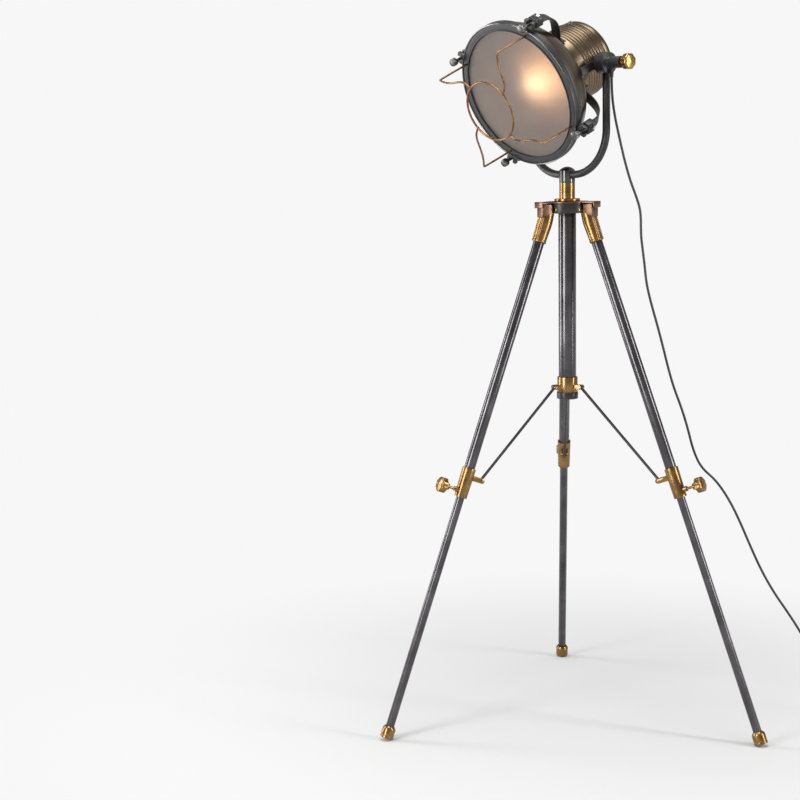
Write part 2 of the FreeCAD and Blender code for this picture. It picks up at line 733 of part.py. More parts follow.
def make_yoke_tube():
    """Make the U-shaped yoke tube by sweeping a hollow section along its centre line."""
    body = doc.addObject("PartDesign::Body", "yoke_tube")
    spine = body.newObject("Sketcher::SketchObject", "yoke_line")
    spine.AttachmentSupport = (origin_plane(body, "XZ_Plane"), [""])
    spine.MapMode = "FlatFace"
    half, bend, rise = value("yoke_half_width"), value("yoke_bend"), value("yoke_drop")
    centres = (Vector(-half + bend, bend, 0), Vector(half - bend, bend, 0))
    upright = Vector(0, 0, 1)
    lines = (
        Part.LineSegment(Vector(-half, rise, 0), Vector(-half, bend, 0)),
        Part.ArcOfCircle(Part.Circle(centres[0], upright, bend), math.pi, 1.5 * math.pi),
        Part.LineSegment(Vector(-half + bend, 0, 0), Vector(half - bend, 0, 0)),
        Part.ArcOfCircle(Part.Circle(centres[1], upright, bend), 1.5 * math.pi, 2 * math.pi),
        Part.LineSegment(Vector(half, bend, 0), Vector(half, rise, 0)),
    )
    for line in lines:
        spine.addGeometry(line)
    for index in range(len(lines) - 1):
        spine.addConstraint(Sketcher.Constraint("Tangent", index, 2, index + 1, 1))
    hold(spine, 0, 1, "-yoke_half_width", "DistanceX", -2)
    hold(spine, 0, 1, "yoke_drop", "DistanceY", -1)
    hold(spine, 4, 2, "yoke_half_width", "DistanceX", -2)
    hold(spine, 4, 2, "yoke_drop", "DistanceY", -1)
    for upright_line in (0, 4):
        spine.addConstraint(Sketcher.Constraint("Vertical", upright_line))
    spine.addConstraint(Sketcher.Constraint("Horizontal", 2))
    spine.addConstraint(Sketcher.Constraint("PointOnObject", 2, 1, -1))
    for arc in (1, 3):
        index = spine.addConstraint(Sketcher.Constraint("Radius", arc, bend))
        spine.setExpression(f"Constraints[{index}]", bound("yoke_bend"))
    section = body.newObject("Sketcher::SketchObject", "yoke_section")
    section.AttachmentSupport = (origin_plane(body, "XY_Plane"), [""])
    section.MapMode = "FlatFace"
    section.AttachmentOffset = Placement(Vector(-half, 0, rise), Rotation())
    for radius in ("yoke_tube_dia / 2", "yoke_tube_dia / 2 - yoke_tube_wall"):
        circle = section.addGeometry(Part.Circle(Vector(), upright, value(radius)))
        section.addConstraint(Sketcher.Constraint("Coincident", circle, 3, -1, 1))
        index = section.addConstraint(Sketcher.Constraint("Radius", circle, value(radius)))
        section.setExpression(f"Constraints[{index}]", bound(radius))
    doc.recompute()
    pipe = body.newObject("PartDesign::AdditivePipe", "yoke_sweep")
    pipe.Profile = section
    pipe.Spine = (spine, [])
    body.Tip = pipe
    doc.recompute()
    # The tube's ends stop where the bosses begin.
    place = Placement(Vector(0, 0, YOKE_Z), Rotation())
    body.Placement = place
    clear = []
    for side in (-1, 1):
        clear.append(cylinder("boss_dia", "boss_outer - boss_inner + 10", Placement(
            Vector(side * half - value("boss_outer - boss_inner + 10") / 2, 0, PIVOT_Z), ALONG_X)))
    keep("yoke_tube", cut(body, *clear))


def make_bosses():
    """Make the two bosses at the yoke's ends, bored for the head's studs."""
    bosses = []
    for side in (-1, 1):
        outwards = Rotation(Vector(0, 1, 0), 90 * side)
        frame = Placement(Vector(0, 0, PIVOT_Z), outwards)
        drum = cylinder("boss_dia", "boss_outer - boss_inner", frame.multiply(at(z="boss_inner")))
        neck = cylinder("boss_neck_dia", "boss_neck_end - boss_inner", frame.multiply(at(z="boss_inner")))
        bore = cylinder("stud_dia + 2 * running_gap", "boss_neck_end", frame.multiply(at(z="boss_inner - 1")))
        bosses.append(cut(fuse(drum, neck), bore))
    keep("yoke_bosses", group(*bosses))


def make_gland():
    """Make the tapered cord gland under the right boss's neck."""
    top = f"{PIVOT_Z} - boss_neck_dia / 2 + 1.5"
    place = at("gland_place", z=f"{top} - gland_length")
    body = cone("cord_dia + 2.5", "gland_dia", "gland_length", place)
    neck_place = at("gland_place - gland_dia", z=f"{PIVOT_Z}", rotation=ALONG_X)
    neck = cylinder("boss_neck_dia", "gland_dia * 2", neck_place)
    keep("cord_gland", cut(body, neck))


def make_tilt_knob(name, side):
    """Make the knob that locks the head's tilt on the end of its stud."""
    outwards = Rotation(Vector(0, 1, 0), 90 * side)
    bore = cylinder("stud_dia + 2 * running_gap", "stud_end - boss_neck_end - 2 + side_gap")
    frame = Placement(Vector(0, 0, PIVOT_Z), outwards).multiply(at(z="boss_neck_end + 2"))
    keep(f"tilt_knob_{name}", cut(knob_solid(), bore), frame)


# --------------------------------------------------------------------------- head

def make_housing():
    """Make the ribbed rear housing as a turned shell."""
    inner = "housing_dia / 2 - housing_wall"
    outer = "housing_dia / 2"
    outline = [
        (inner, "-housing_back", None),
        (outer, "-housing_back", None),
    ]
    for index in range(int(value("rib_count"))):
        low = f"-rib_start + {index} * rib_pitch"
        outline += [
            (outer, low, None),
            (f"{outer} + rib_depth", f"{low} + rib_pitch * 0.2", None),
            (f"{outer} + rib_depth", f"{low} + rib_pitch * 0.55", None),
            (outer, f"{low} + rib_pitch * 0.75", None),
        ]
    outline += [
        (outer, "housing_front", None),
        (inner, "housing_front", None),
    ]
    turned("rear_housing", outline, HEAD_FRAME)


def make_tail():
    """Make the rounded cap that closes the housing's rear end."""
    back = "-housing_back - tail_length"
    outline = (
        ("0", back, None),
        ("housing_dia / 2 - tail_round", back, ("tail_round", 1)),
        ("housing_dia / 2", f"{back} + tail_round", None),
        ("housing_dia / 2", "-housing_back", None),
        ("housing_dia / 2 - housing_wall - side_gap", "-housing_back", None),
        ("housing_dia / 2 - housing_wall - side_gap", f"{back} + tail_round",
         ("tail_round - housing_wall", -1)),
        ("housing_dia / 2 - tail_round - side_gap", f"{back} + housing_wall", None),
        ("0", f"{back} + housing_wall", None),
    )
    turned("rear_cap", outline, HEAD_FRAME)


def make_bell():
    """Make the domed bell between the housing and the rim."""
    outline = (
        ("housing_dia / 2", "housing_front - 6", None),
        ("housing_dia / 2 + bell_wall", "housing_front - 6", None),
        ("housing_dia / 2 + bell_wall", "housing_front + 2", ("bell_round", 1)),
        ("bell_dia / 2", "rim_back - 4", None),
        ("bell_dia / 2", "bell_front", None),
        ("bell_dia / 2 - bell_wall", "bell_front", None),
        ("bell_dia / 2 - bell_wall", "rim_back - 4", ("bell_round - bell_wall", -1)),
        ("housing_dia / 2", "housing_front + 2 + bell_wall", None),
    )
    turned("bell", outline, HEAD_FRAME)


def make_rim():
    """Make the rim ring with four slotted lugs for the clamp screws."""
    outline = (
        ("rim_dia / 2 - rim_wall", "rim_back", None),
        ("rim_dia / 2 - 1", "rim_back", None),
        ("rim_dia / 2", "rim_back + 1", None),
        ("rim_dia / 2", "rim_front - 2", None),
        ("rim_dia / 2 - 2", "rim_front", None),
        ("rim_opening / 2", "rim_front", None),
        ("rim_opening / 2", "rim_front - rim_flange", None),
        ("rim_dia / 2 - rim_wall", "rim_front - rim_flange", None),
    )
    ring = turned("rim_blank", outline)
    del subparts["rim_blank"]
    lugs = [ring]
    slots = []
    for turn in CLAMP_TURNS:
        frame = Placement(Vector(), Rotation(Vector(0, 0, 1), value("clamp_turn") + turn))
        lug_place = frame.multiply(at("lug_outer / 2 + rim_dia / 4 - 1", z="lug_back"))
        lugs.append(block("lug_outer - rim_dia / 2 + 2", "strap_width", "lug_front - lug_back", lug_place))
        slot_place = frame.multiply(at("clamp_radius + lug_slot_width", z="lug_back"))
        slots.append(block("lug_slot_width * 2", "lug_slot_width", "lug_front - lug_back", slot_place))
        slots.append(cylinder("lug_slot_width", "lug_front - lug_back", frame.multiply(
            at("clamp_radius", z="lug_back"))))
    keep("rim_ring", cut(fuse(*lugs), *slots), HEAD_FRAME)


def make_lens():
    """Make the front glass and the gasket that seats it against the rim's flange."""
    gasket_front = "rim_front - rim_flange"
    glass_front = f"{gasket_front} - gasket_thickness"
    seal = cut(cylinder("glass_dia", "gasket_thickness", at(z=glass_front)),
               cylinder("rim_opening", "gasket_thickness", at(z=glass_front)))
    keep("glass_gasket", seal, HEAD_FRAME)
    glass = cylinder("glass_dia", "glass_thickness", at(z=f"{glass_front} - glass_thickness"))
    keep("front_glass", glass, HEAD_FRAME)


def make_reflector():
    """Make the spun reflector inside the bell."""
    mouth = "rim_front - rim_flange - gasket_thickness - glass_thickness - 2.5"
    outline = (
        ("reflector_neck_dia / 2", "reflector_back", ("reflector_round", 1)),
        ("reflector_mouth_dia / 2", mouth, None),
        ("glass_dia / 2", mouth, None),
        ("glass_dia / 2", f"{mouth} + reflector_wall", None),
        ("reflector_mouth_dia / 2 - reflector_wall", f"{mouth} + reflector_wall",
         ("reflector_round", -1)),
        ("reflector_neck_dia / 2", "reflector_back + reflector_wall * 2", None),
    )
    turned("reflector", outline, HEAD_FRAME)


def make_lamp():
    """Make the lamp holder on its mounting disc, the bulb's metal cap and its glass."""
    holder = (
        ("0", "-holder_back", None),
        ("housing_dia / 2 - housing_wall", "-holder_back", None),
        ("housing_dia / 2 - housing_wall", "-holder_back + holder_plate_thickness", None),
        ("holder_dia / 2", "-holder_back + holder_plate_thickness", None),
        ("holder_dia / 2", "holder_front", None),
        ("0", "holder_front", None),
    )
    turned("lamp_holder", holder, HEAD_FRAME)
    cap = (
        ("0", "holder_front", None),
        ("bulb_cap_dia / 2", "holder_front", None),
        ("bulb_cap_dia / 2", "holder_front + bulb_cap_length", None),
        ("0", "holder_front + bulb_cap_length", None),
    )
    turned("bulb_cap", cap, HEAD_FRAME)
    neck_z = "holder_front + bulb_cap_length"
    neck_length = f"bulb_centre - 0.25 * bulb_dia - ({neck_z})"
    neck = cone("bulb_cap_dia", "bulb_dia * 0.86", neck_length, at(z=neck_z))
    globe = primitive("Sphere", at(z="bulb_centre"), Radius="bulb_dia / 2")
    keep("bulb_glass", fuse(neck, globe), HEAD_FRAME)


def make_trunnions():
    """Make the side bars on the housing, each with the stud that the head tilts on."""
    bars = []
    for side in (-1, 1):
        place = at(f"{side} * (housing_dia / 2 + rib_depth + bar_thickness / 2)", z="-bar_back")
        bar = block("bar_thickness", "bar_width", "bar_back + bar_front", place)
        outwards = Rotation(Vector(0, 1, 0), 90 * side)
        stud_place = Placement(Vector(), outwards).multiply(at(z="housing_dia / 2 + rib_depth"))
        stud = cylinder("stud_dia", "stud_end - housing_dia / 2 - rib_depth", stud_place)
        pad_place = at(f"{side} * (housing_dia / 2 + rib_depth / 2 + 0.5)", z="bar_front - stud_dia")
        pad = block("rib_depth + 1", "bar_width", "stud_dia", pad_place)
        drum = cylinder("housing_dia", "bar_front * 3", at(z="-bar_front"))
        bars.append(cut(fuse(bar, stud, pad), drum))
    keep("trunnion_bars", group(*bars), HEAD_FRAME)


def strap_points():
    """Return the strap's centre line from the housing to the end block, radius along X, axis along Z."""
    half = value("strap_thickness") / 2
    foot = value("housing_dia / 2") + half
    end = value("clamp_radius")
    return (
        Vector(foot, 0, value("housing_front - strap_tail")),
        Vector(foot, 0, value("housing_front - strap_tail / 2 + 2")),
        Vector(foot + value("strap_rise"), 0, value("housing_front + 10")),
        Vector(end, 0, value("block_back - strap_straight")),
        Vector(end, 0, value("block_back + 1")),
    )


def make_clamps():
    """Make the four straps, their end blocks and the small screws on the blocks and the rear cap."""
    points = strap_points()
    path = rounded_path(points, STRAP_RADII)
    width, thickness = value("strap_width"), value("strap_thickness")
    start = points[0]
    section = Part.makePolygon([
        start + Vector(-thickness / 2, -width / 2, 0), start + Vector(thickness / 2, -width / 2, 0),
        start + Vector(thickness / 2, width / 2, 0), start + Vector(-thickness / 2, width / 2, 0),
        start + Vector(-thickness / 2, -width / 2, 0)])
    strap = path.makePipeShell([section], True, False)
    drum_length = value("bell_dia")
    drum = Part.makeCylinder(value("housing_dia / 2"), drum_length, Vector(0, 0, -drum_length / 2))
    end_size = 2 * width
    end_corner = Vector(value("clamp_radius") - width, -width, value("block_back"))
    end_space = Part.makeBox(end_size, end_size, end_size, end_corner)
    turns = [value("clamp_turn") + turn for turn in CLAMP_TURNS]
    feature("clamp_straps", turned_copies(strap.cut(drum).cut(end_space), turns), HEAD_FRAME)

    depth = value("block_depth")
    length = value("block_front - block_back")
    corner = Vector(value("clamp_radius") - depth / 2, -width / 2, value("block_back"))
    body = Part.makeBox(depth, width, length, corner)
    outer_edges = [edge for edge in body.Edges if abs(edge.Curve.Direction.z) > 0.99
                   and edge.CenterOfMass.x > value("clamp_radius")]
    body = body.makeFillet(value("block_corner"), outer_edges)
    groove = value("block_groove")
    for index in range(3):
        low = value(f"block_back + block_groove_start + {index} * block_groove_pitch")
        groove_corner = Vector(corner.x + depth - groove, -width / 2, low)
        body = body.cut(Part.makeBox(groove, width, groove, groove_corner))
    bore = value("clamp_screw_dia / 2 + running_gap")
    bore_start = Vector(value("clamp_radius"), 0, value("clamp_screw_back - side_gap"))
    body = body.cut(Part.makeCylinder(bore, length, bore_start))
    feature("clamp_blocks", turned_copies(body, turns), HEAD_FRAME)

    radius, height = value("small_screw_dia / 2"), value("small_screw_height")
    screw_start = Vector(corner.x + depth, 0, value("block_back + block_groove_start / 2"))
    block_screw = Part.makeCylinder(radius, height, screw_start, Vector(1, 0, 0))
    screws = [block_screw.copy().rotate(Vector(), Vector(0, 0, 1), turn) for turn in turns]
    vent_start = Vector(0, value("housing_dia / 2 - 1"), -value("housing_back + 2") - radius / 2)
    screws.append(Part.makeCylinder(radius, height + 1, vent_start, Vector(0, 1, 0)).cut(drum))
    feature("head_screws", Part.makeCompound(screws), HEAD_FRAME)


def make_clamp_screw(index, turn):
    """Make one clamp screw with its round head."""
    shaft = cylinder("clamp_screw_dia", "clamp_head_back - clamp_screw_back + 1",
                     at("clamp_radius", z="clamp_screw_back"))
    head = cylinder("clamp_head_dia", "clamp_head_length", at("clamp_radius", z="clamp_head_back"))
    crown = cone("clamp_head_dia", "clamp_head_dia - 4", "1.5",
                 at("clamp_radius", z="clamp_head_back + clamp_head_length"))
    spin = Placement(Vector(), Rotation(Vector(0, 0, 1), value("clamp_turn") + turn))
    keep(f"clamp_screw_{index}", fuse(shaft, head, crown), HEAD_FRAME.multiply(spin))


def make_guard():
    """Make the wire guard: four bent arms that meet a round centre ring."""
    wire = value("guard_wire_dia")
    foot = value("guard_foot_radius")
    front = value("guard_front")
    ring_radius = value("guard_ring_radius")
    join_turn = math.radians(value("guard_join_turn"))
    ring_meet = Vector(ring_radius * math.cos(join_turn), -ring_radius * math.sin(join_turn), front)
    corners = [Vector(foot - inward, -sideways, front) for inward, sideways in GUARD_CORNERS]
    points = [Vector(foot, 0, value("rim_front")), *corners, ring_meet]
    arm = tube(rounded_path(points, GUARD_RADII), wire)
    turns = [value("clamp_turn") + turn for turn in CLAMP_TURNS]
    arms = [arm.copy().rotate(Vector(), Vector(0, 0, 1), turn) for turn in turns]
    ring = Part.makeTorus(ring_radius, wire / 2 + 0.3, Vector(0, 0, front))
    feature("guard_wires", ring.fuse(arms).removeSplitter(), HEAD_FRAME)


# --------------------------------------------------------------------------- cord

def make_cord():
    """Make the cord's two tubes, its coil with a tie, and the plug."""
    dia = value("cord_dia")
    for label, route in (("cord_upper", UPPER_ROUTE), ("cord_lower", LOWER_ROUTE)):
        points = [Vector(*point) for point in route]
        radii = bend_radii(points)
        path = rounded_path(points, radii)
        solid = tube(path, dia)
        expected = math.pi * dia ** 2 / 4 * path.Length
        print(f"{label}: length {path.Length:.1f} mm, radii "
              + ", ".join(f"{radius:.0f}" for radius in radii)
              + f", volume {solid.Volume / expected:.4f} of section times length")
        feature(label, solid)
    turn_dia, band, height = value("coil_turn_dia"), value("coil_band"), value("coil_height")
    centre = Vector(COIL_CENTRE[0], COIL_CENTRE[1], 0)
    coil = Part.makeCylinder((turn_dia + band) / 2, height, centre).cut(
        Part.makeCylinder((turn_dia - band) / 2, height, centre))
    tie_width, tie = value("tie_width"), value("tie_thickness")
    corner = centre + Vector((turn_dia - band) / 2 - 2 * tie, -tie_width / 2, 0)
    wrapped = Part.makeBox(band + 4 * tie, tie_width, height, corner)
    hollow = Part.makeBox(band + 2 * tie, tie_width, height - 2 * tie, corner + Vector(tie, 0, tie))
    feature("cord_tie", wrapped.cut(hollow))
    feature("cord_coil", coil.cut(wrapped.cut(hollow)))
    print(f"cord_coil: one turn's centre line {math.pi * turn_dia:.1f} mm")


def make_plug():
    """Make the flat two-pin plug that lies beside the coil, pointing along -X."""
    dia, neck_length = value("plug_neck_dia"), value("plug_neck_length")
    width, length, height = value("plug_width"), value("plug_length"), value("plug_height")
    start = Vector(COIL_CENTRE[0] - value("plug_offset"), COIL_CENTRE[1] + value("coil_turn_dia / 2"),
                   height / 2)
    neck = Part.makeCone(value("cord_dia") / 2 + 0.6, dia / 2, neck_length, start, Vector(-1, 0, 0))
    corner = start + Vector(-neck_length - length + 1, -width / 2, -height / 2)
    body = Part.makeBox(length, width, height, corner)
    long_edges = [edge for edge in body.Edges if abs(edge.Curve.Direction.x) > 0.99]
    body = body.makeFillet(height * 0.35, long_edges)
    rear_edges = [edge for edge in body.Edges if edge.BoundBox.XMin > corner.x + length - 0.1]
    body = body.makeChamfer(value("plug_chamfer"), rear_edges)
    feature("plug_body", body.fuse(neck).removeSplitter())
    pins = []
    for side in (-1, 1):
        place = Vector(corner.x, start.y + side * value("plug_pin_spacing") / 2, height / 2)
        pins.append(Part.makeCylinder(value("plug_pin_dia / 2"), value("plug_pin_length"), place,
                                      Vector(-1, 0, 0)))
    feature("plug_pins", Part.makeCompound(pins))
    print(f"plug pins start at {corner.x:.2f}, {start.y:.2f}, {height / 2:.2f}")


def main():
    make_hub()
    make_top_plate()
    make_stem()
    make_column()
    make_collar()
    for name, turn in zip(LEGS, LEG_TURNS):
        make_strut(name, turn)
        make_elbow(name, turn)
        make_upper_tube(name, turn)
        make_sleeve(name, turn)
        make_lower_leg(name, turn)
        make_leg_knob(name, turn)
    make_swivel_cap()
    make_yoke_tube()
    make_bosses()
    make_gland()
    make_tilt_knob("right", 1)
    make_tilt_knob("left", -1)
    make_housing()
    make_tail()
    make_bell()
    make_rim()
    make_lens()
    make_reflector()
    make_lamp()
    make_trunnions()
    make_clamps()
    for index, turn in enumerate(CLAMP_TURNS, start=1):
        make_clamp_screw(index, turn)
    make_guard()
    make_cord()
    make_plug()
    doc.recompute()
    for item in doc.Objects:
        if "Invalid" in item.State or "Error" in item.State:
            raise RuntimeError(f"{item.Label} failed: {item.State}")
    os.makedirs("parts", exist_ok=True)
    for label, solid in subparts.items():
        if solid.Shape.isNull() or not solid.Shape.isValid() or not solid.Shape.Solids:
            raise RuntimeError(f"{label} has no valid solid")
    for label, solid in subparts.items():
        solid.Shape.exportStep(f"parts/{label}.step")
    print(f"{len(subparts)} sub-parts, pivot at {PIVOT_Z:.1f} mm, collar pivot at {COLLAR_PIVOT_Z:.1f} mm")


main()
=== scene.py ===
"""Looks of a tripod floor lamp with a tilting searchlight head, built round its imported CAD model."""

import logging
import math
from dataclasses import dataclass
from enum import Enum
from typing import Callable, Optional, Sequence, Union

import bpy
from mathutils import Matrix, Vector


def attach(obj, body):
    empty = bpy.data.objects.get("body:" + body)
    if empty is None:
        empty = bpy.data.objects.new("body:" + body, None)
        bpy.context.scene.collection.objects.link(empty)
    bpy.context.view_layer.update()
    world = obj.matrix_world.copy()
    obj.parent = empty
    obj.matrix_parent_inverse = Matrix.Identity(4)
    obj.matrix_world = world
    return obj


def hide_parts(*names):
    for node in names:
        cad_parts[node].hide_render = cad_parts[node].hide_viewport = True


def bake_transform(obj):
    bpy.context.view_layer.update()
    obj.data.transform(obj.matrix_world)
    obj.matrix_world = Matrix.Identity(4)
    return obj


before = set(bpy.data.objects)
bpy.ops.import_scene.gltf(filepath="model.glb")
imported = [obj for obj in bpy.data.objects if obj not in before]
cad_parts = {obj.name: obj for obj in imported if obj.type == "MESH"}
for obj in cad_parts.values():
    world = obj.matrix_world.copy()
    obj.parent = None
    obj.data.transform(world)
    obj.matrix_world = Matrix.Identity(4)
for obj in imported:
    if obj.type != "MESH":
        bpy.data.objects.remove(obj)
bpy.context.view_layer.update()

LOG = logging.getLogger("tripod_lamp")

Colour = tuple[float, float, float]
Point = tuple[float, float, float]
Piece = bpy.types.Object
Socket = bpy.types.NodeSocket
Material = bpy.types.Material
Value = Union[float, int, tuple, "Signal", Socket]

MM = 0.001
PIVOT = Vector((0.0, 0.0, 1.4991156))
HEAD_TILT = math.radians(23.3)
HEAD_FRAME = Matrix.Translation(PIVOT) @ Matrix.Rotation(math.radians(90.0) + HEAD_TILT, 4, "X")
HERE = Matrix.Identity(4)
LEG_ANGLE = math.radians(20.1)
LEG_TURNS = {"right": 17.2, "left": 257.2, "back": 137.2}
KNEE_RADIUS = 0.048
KNEE_Z = 1.1781156
CLAMP_TURNS = (59.0, 149.0, 239.0, 329.0)


def turned(degrees: float, axis: str = "Z") -> Matrix:
    """Give a turn about an axis."""
    return Matrix.Rotation(math.radians(degrees), 4, axis)


def moved(x: float, y: float, z: float) -> Matrix:
    """Give a shift in millimetres."""
    return Matrix.Translation((x * MM, y * MM, z * MM))


def metres(points: Sequence[Point]) -> list[Point]:
    """Turn points in millimetres into metres."""
    return [(x * MM, y * MM, z * MM) for x, y, z in points]


def leg_tube_frame(name: str) -> Matrix:
    """Give the frame of a leg's tube.

    Args:
        name: The leg's name, one of the keys of LEG_TURNS.

    Returns:
        A matrix whose origin is the knee point, with +Z down the leg and +X towards the column.
    """
    knee = Matrix.Translation((KNEE_RADIUS, 0.0, KNEE_Z))
    return turned(LEG_TURNS[name]) @ knee @ Matrix.Rotation(math.pi - LEG_ANGLE, 4, "Y")


# ------------------------------------------------------------------------------ shader maths

class Signal:
    """A number that varies over a surface: one output socket, with arithmetic that adds Math nodes."""

    def __init__(self, paint: "Paint", socket: Socket) -> None:
        """Wrap a socket of a paint's node tree."""
        self.paint = paint
        self.socket = socket

    def _math(self, operation: str, *others: Value, swapped: bool = False) -> "Signal":
        """Add a Math node on this signal.

        Args:
            operation: The Math node's operation.
            others: The other operands.
            swapped: Whether this signal is the second operand.

        Returns:
            The node's result.
        """
        operands = [self, *others]
        if swapped:
            operands.reverse()
        node = self.paint.node("ShaderNodeMath", {"operation": operation}, dict(enumerate(operands)))
        return Signal(self.paint, node.outputs[0])

    def __add__(self, other: Value) -> "Signal":
        """Add."""
        return self._math("ADD", other)

    __radd__ = __add__

    def __mul__(self, other: Value) -> "Signal":
        """Multiply."""
        return self._math("MULTIPLY", other)

    __rmul__ = __mul__

    def __sub__(self, other: Value) -> "Signal":
        """Subtract."""
        return self._math("SUBTRACT", other)

    def __rsub__(self, other: Value) -> "Signal":
        """Subtract from a number."""
        return self._math("SUBTRACT", other, swapped=True)

    def smoothstep(self, low: float, high: float) -> "Signal":
        """Ease from 0 to 1 between two values.

        Args:
            low: Where the result starts to rise.
            high: Where it reaches 1.

        Returns:
            The eased signal.
        """
        node = self.paint.node("ShaderNodeMapRange", {"interpolation_type": "SMOOTHSTEP"},
                               {"Value": self, "From Min": low, "From Max": high})
        return Signal(self.paint, node.outputs["Result"])


class Paint:
    """The node tree of one material, with a method for each kind of node that repeats."""

    def __init__(self, name: str) -> None:
        """Start an empty material.

        Args:
            name: The material's name.
        """
        self.material = bpy.data.materials.new(name)
        self.material.use_nodes = True
        self.tree = self.material.node_tree
        self.tree.nodes.clear()
        self.output = self.node("ShaderNodeOutputMaterial")

    def node(self, kind: str, settings: Optional[dict] = None,
             sockets: Optional[dict] = None) -> bpy.types.Node:
        """Add a node.

        Args:
            kind: The node's type.
            settings: Properties that are set first; "stops" is a ramp's (place, colour) list.
            sockets: Values or links of its inputs, by name or number.

        Returns:
            The new node.
        """
        node = self.tree.nodes.new(kind)
        for key, setting in (settings or {}).items():
            if key == "stops":
                steps = node.color_ramp.elements
                for step, (place, colour) in zip(steps, (setting[0], setting[-1])):
                    step.position, step.color = place, (*colour, 1.0)
                for place, colour in setting[1:-1]:
                    steps.new(place).color = (*colour, 1.0)
            else:
                setattr(node, key, setting)
        for key, value in (sockets or {}).items():
            socket = node.inputs[key]
            if isinstance(value, Signal):
                value = value.socket
            if isinstance(value, Socket):
                self.tree.links.new(value, socket)
            elif isinstance(value, tuple) and len(value) == 3 and socket.type == "RGBA":
                socket.default_value = (*value, 1.0)
            else:
                socket.default_value = value
        return node

    def place(self, local: Matrix = HERE) -> Socket:
        """Give the surface point in a piece's own frame.

        Args:
            local: The frame's matrix in the row frame.

        Returns:
            A vector socket, in metres.
        """
        coordinates = self.node("ShaderNodeTexCoord")
        mapping = self.node("ShaderNodeMapping", {"vector_type": "TEXTURE"}, {
            "Vector": coordinates.outputs["Object"],
            "Location": tuple(local.to_translation()),
            "Rotation": tuple(local.to_euler("XYZ")),
        })
        return mapping.outputs["Vector"]

    def stretched(self, vector: Socket, scale: Point) -> Socket:
        """Scale a vector by axis."""
        node = self.node("ShaderNodeVectorMath", {"operation": "MULTIPLY"}, {0: vector, 1: scale})
        return node.outputs["Vector"]

    def split(self, vector: Socket) -> tuple["Signal", "Signal", "Signal", "Signal"]:
        """Split a vector into its X, Y and Z and its distance from the Z axis."""
        parts = self.node("ShaderNodeSeparateXYZ", None, {0: vector})
        across, side, height = (Signal(self, parts.outputs[axis]) for axis in "XYZ")
        return across, side, height, (across * across + side * side)._math("SQRT")

    def round_place(self, vector: Socket, along: float) -> Socket:
        """Turn a local point into (distance from the axis, height, turn about the axis).

        Args:
            vector: The point in the piece's frame.
            along: How far the pattern changes round the axis, per radian.

        Returns:
            The vector that a turned pattern reads.
        """
        across, side, height, reach = self.split(vector)
        turn = across._math("ARCTAN2", side) * along
        node = self.node("ShaderNodeCombineXYZ", None, {"X": reach, "Y": height, "Z": turn})
        return node.outputs["Vector"]

    def noise(self, vector: Socket, scale: float, detail: float = 3.0, roughness: float = 0.5) -> Signal:
        """Add a noise texture and return its number."""
        node = self.node("ShaderNodeTexNoise", None, {
            "Vector": vector, "Scale": scale, "Detail": detail, "Roughness": roughness})
        return Signal(self, node.outputs["Fac"])

    def ramp(self, factor: Signal, stops: Sequence[tuple[float, Colour]]) -> Socket:
        """Colour a number by a ramp of stops."""
        node = self.node("ShaderNodeValToRGB", {"stops": list(stops)}, {"Fac": factor})
        return node.outputs["Color"]

    def mix(self, factor: Value, first: Value, second: Value) -> Socket:
        """Mix two colours by a factor."""
        node = self.node("ShaderNodeMix", {"data_type": "RGBA"}, {0: factor, 6: first, 7: second})
        return node.outputs[2]

    def bump(self, height: Signal, distance: float, strength: float = 1.0) -> Socket:
        """Turn a height into a normal; the distance is in metres."""
        node = self.node("ShaderNodeBump", None, {
            "Height": height, "Distance": distance, "Strength": strength})
        return node.outputs["Normal"]

    def finish(self, **sockets: Value) -> Material:
        """Close the material with a Principled shader.

        Args:
            sockets: The shader's inputs, with underscores for spaces.

        Returns:
            The finished material.
        """
        named = {key.replace("_", " "): value for key, value in sockets.items()}
        shader = self.node("ShaderNodeBsdfPrincipled", None, named)
        self.tree.links.new(shader.outputs[0], self.output.inputs["Surface"])
        return self.material


# ------------------------------------------------------------------------------ finishes

class Tone(Enum):
    """The metals' tones: in their hollows, on their faces and where hands rub them."""

    AGED = ((0.170, 0.094, 0.036), (0.255, 0.150, 0.058), (0.350, 0.215, 0.088))
    BRIGHT = ((0.220, 0.130, 0.040), (0.330, 0.205, 0.066), (0.430, 0.280, 0.100))
    COPPERY = ((0.085, 0.046, 0.030), (0.135, 0.076, 0.050), (0.210, 0.125, 0.080))
    ANTIQUE = ((0.095, 0.068, 0.044), (0.160, 0.118, 0.076), (0.235, 0.178, 0.116))
    WIRE = ((0.120, 0.058, 0.026), (0.210, 0.108, 0.048), (0.320, 0.175, 0.080))
    NICKEL = ((0.050, 0.047, 0.050), (0.095, 0.090, 0.095), (0.160, 0.152, 0.158))
    DARK_NICKEL = ((0.045, 0.043, 0.043), (0.085, 0.082, 0.080), (0.15, 0.14, 0.135))
    # A lighter grey for the rim's lip: a painted highlight that stands in for light on the black enamel
    # chamfer.
    RUBBED = ((0.06, 0.058, 0.056), (0.13, 0.125, 0.12), (0.26, 0.25, 0.24))
    GUNMETAL = ((0.05, 0.05, 0.052), (0.11, 0.108, 0.105), (0.24, 0.23, 0.22))
    STEEL = ((0.42, 0.41, 0.40), (0.58, 0.57, 0.56), (0.70, 0.69, 0.68))
    DULL_STEEL = ((0.3, 0.29, 0.28), (0.45, 0.44, 0.43), (0.6, 0.59, 0.58))
    PLATED = ((0.45, 0.44, 0.41), (0.62, 0.60, 0.56), (0.72, 0.71, 0.67))
    ALUMINIUM = ((0.50, 0.50, 0.50), (0.62, 0.62, 0.61), (0.72, 0.72, 0.71))


class Lay(Enum):
    """Which way a metal's fine marks run."""

    TURNED = "round the piece's axis"
    DRAWN = "along the piece's axis"
    CAST = "no way in particular"


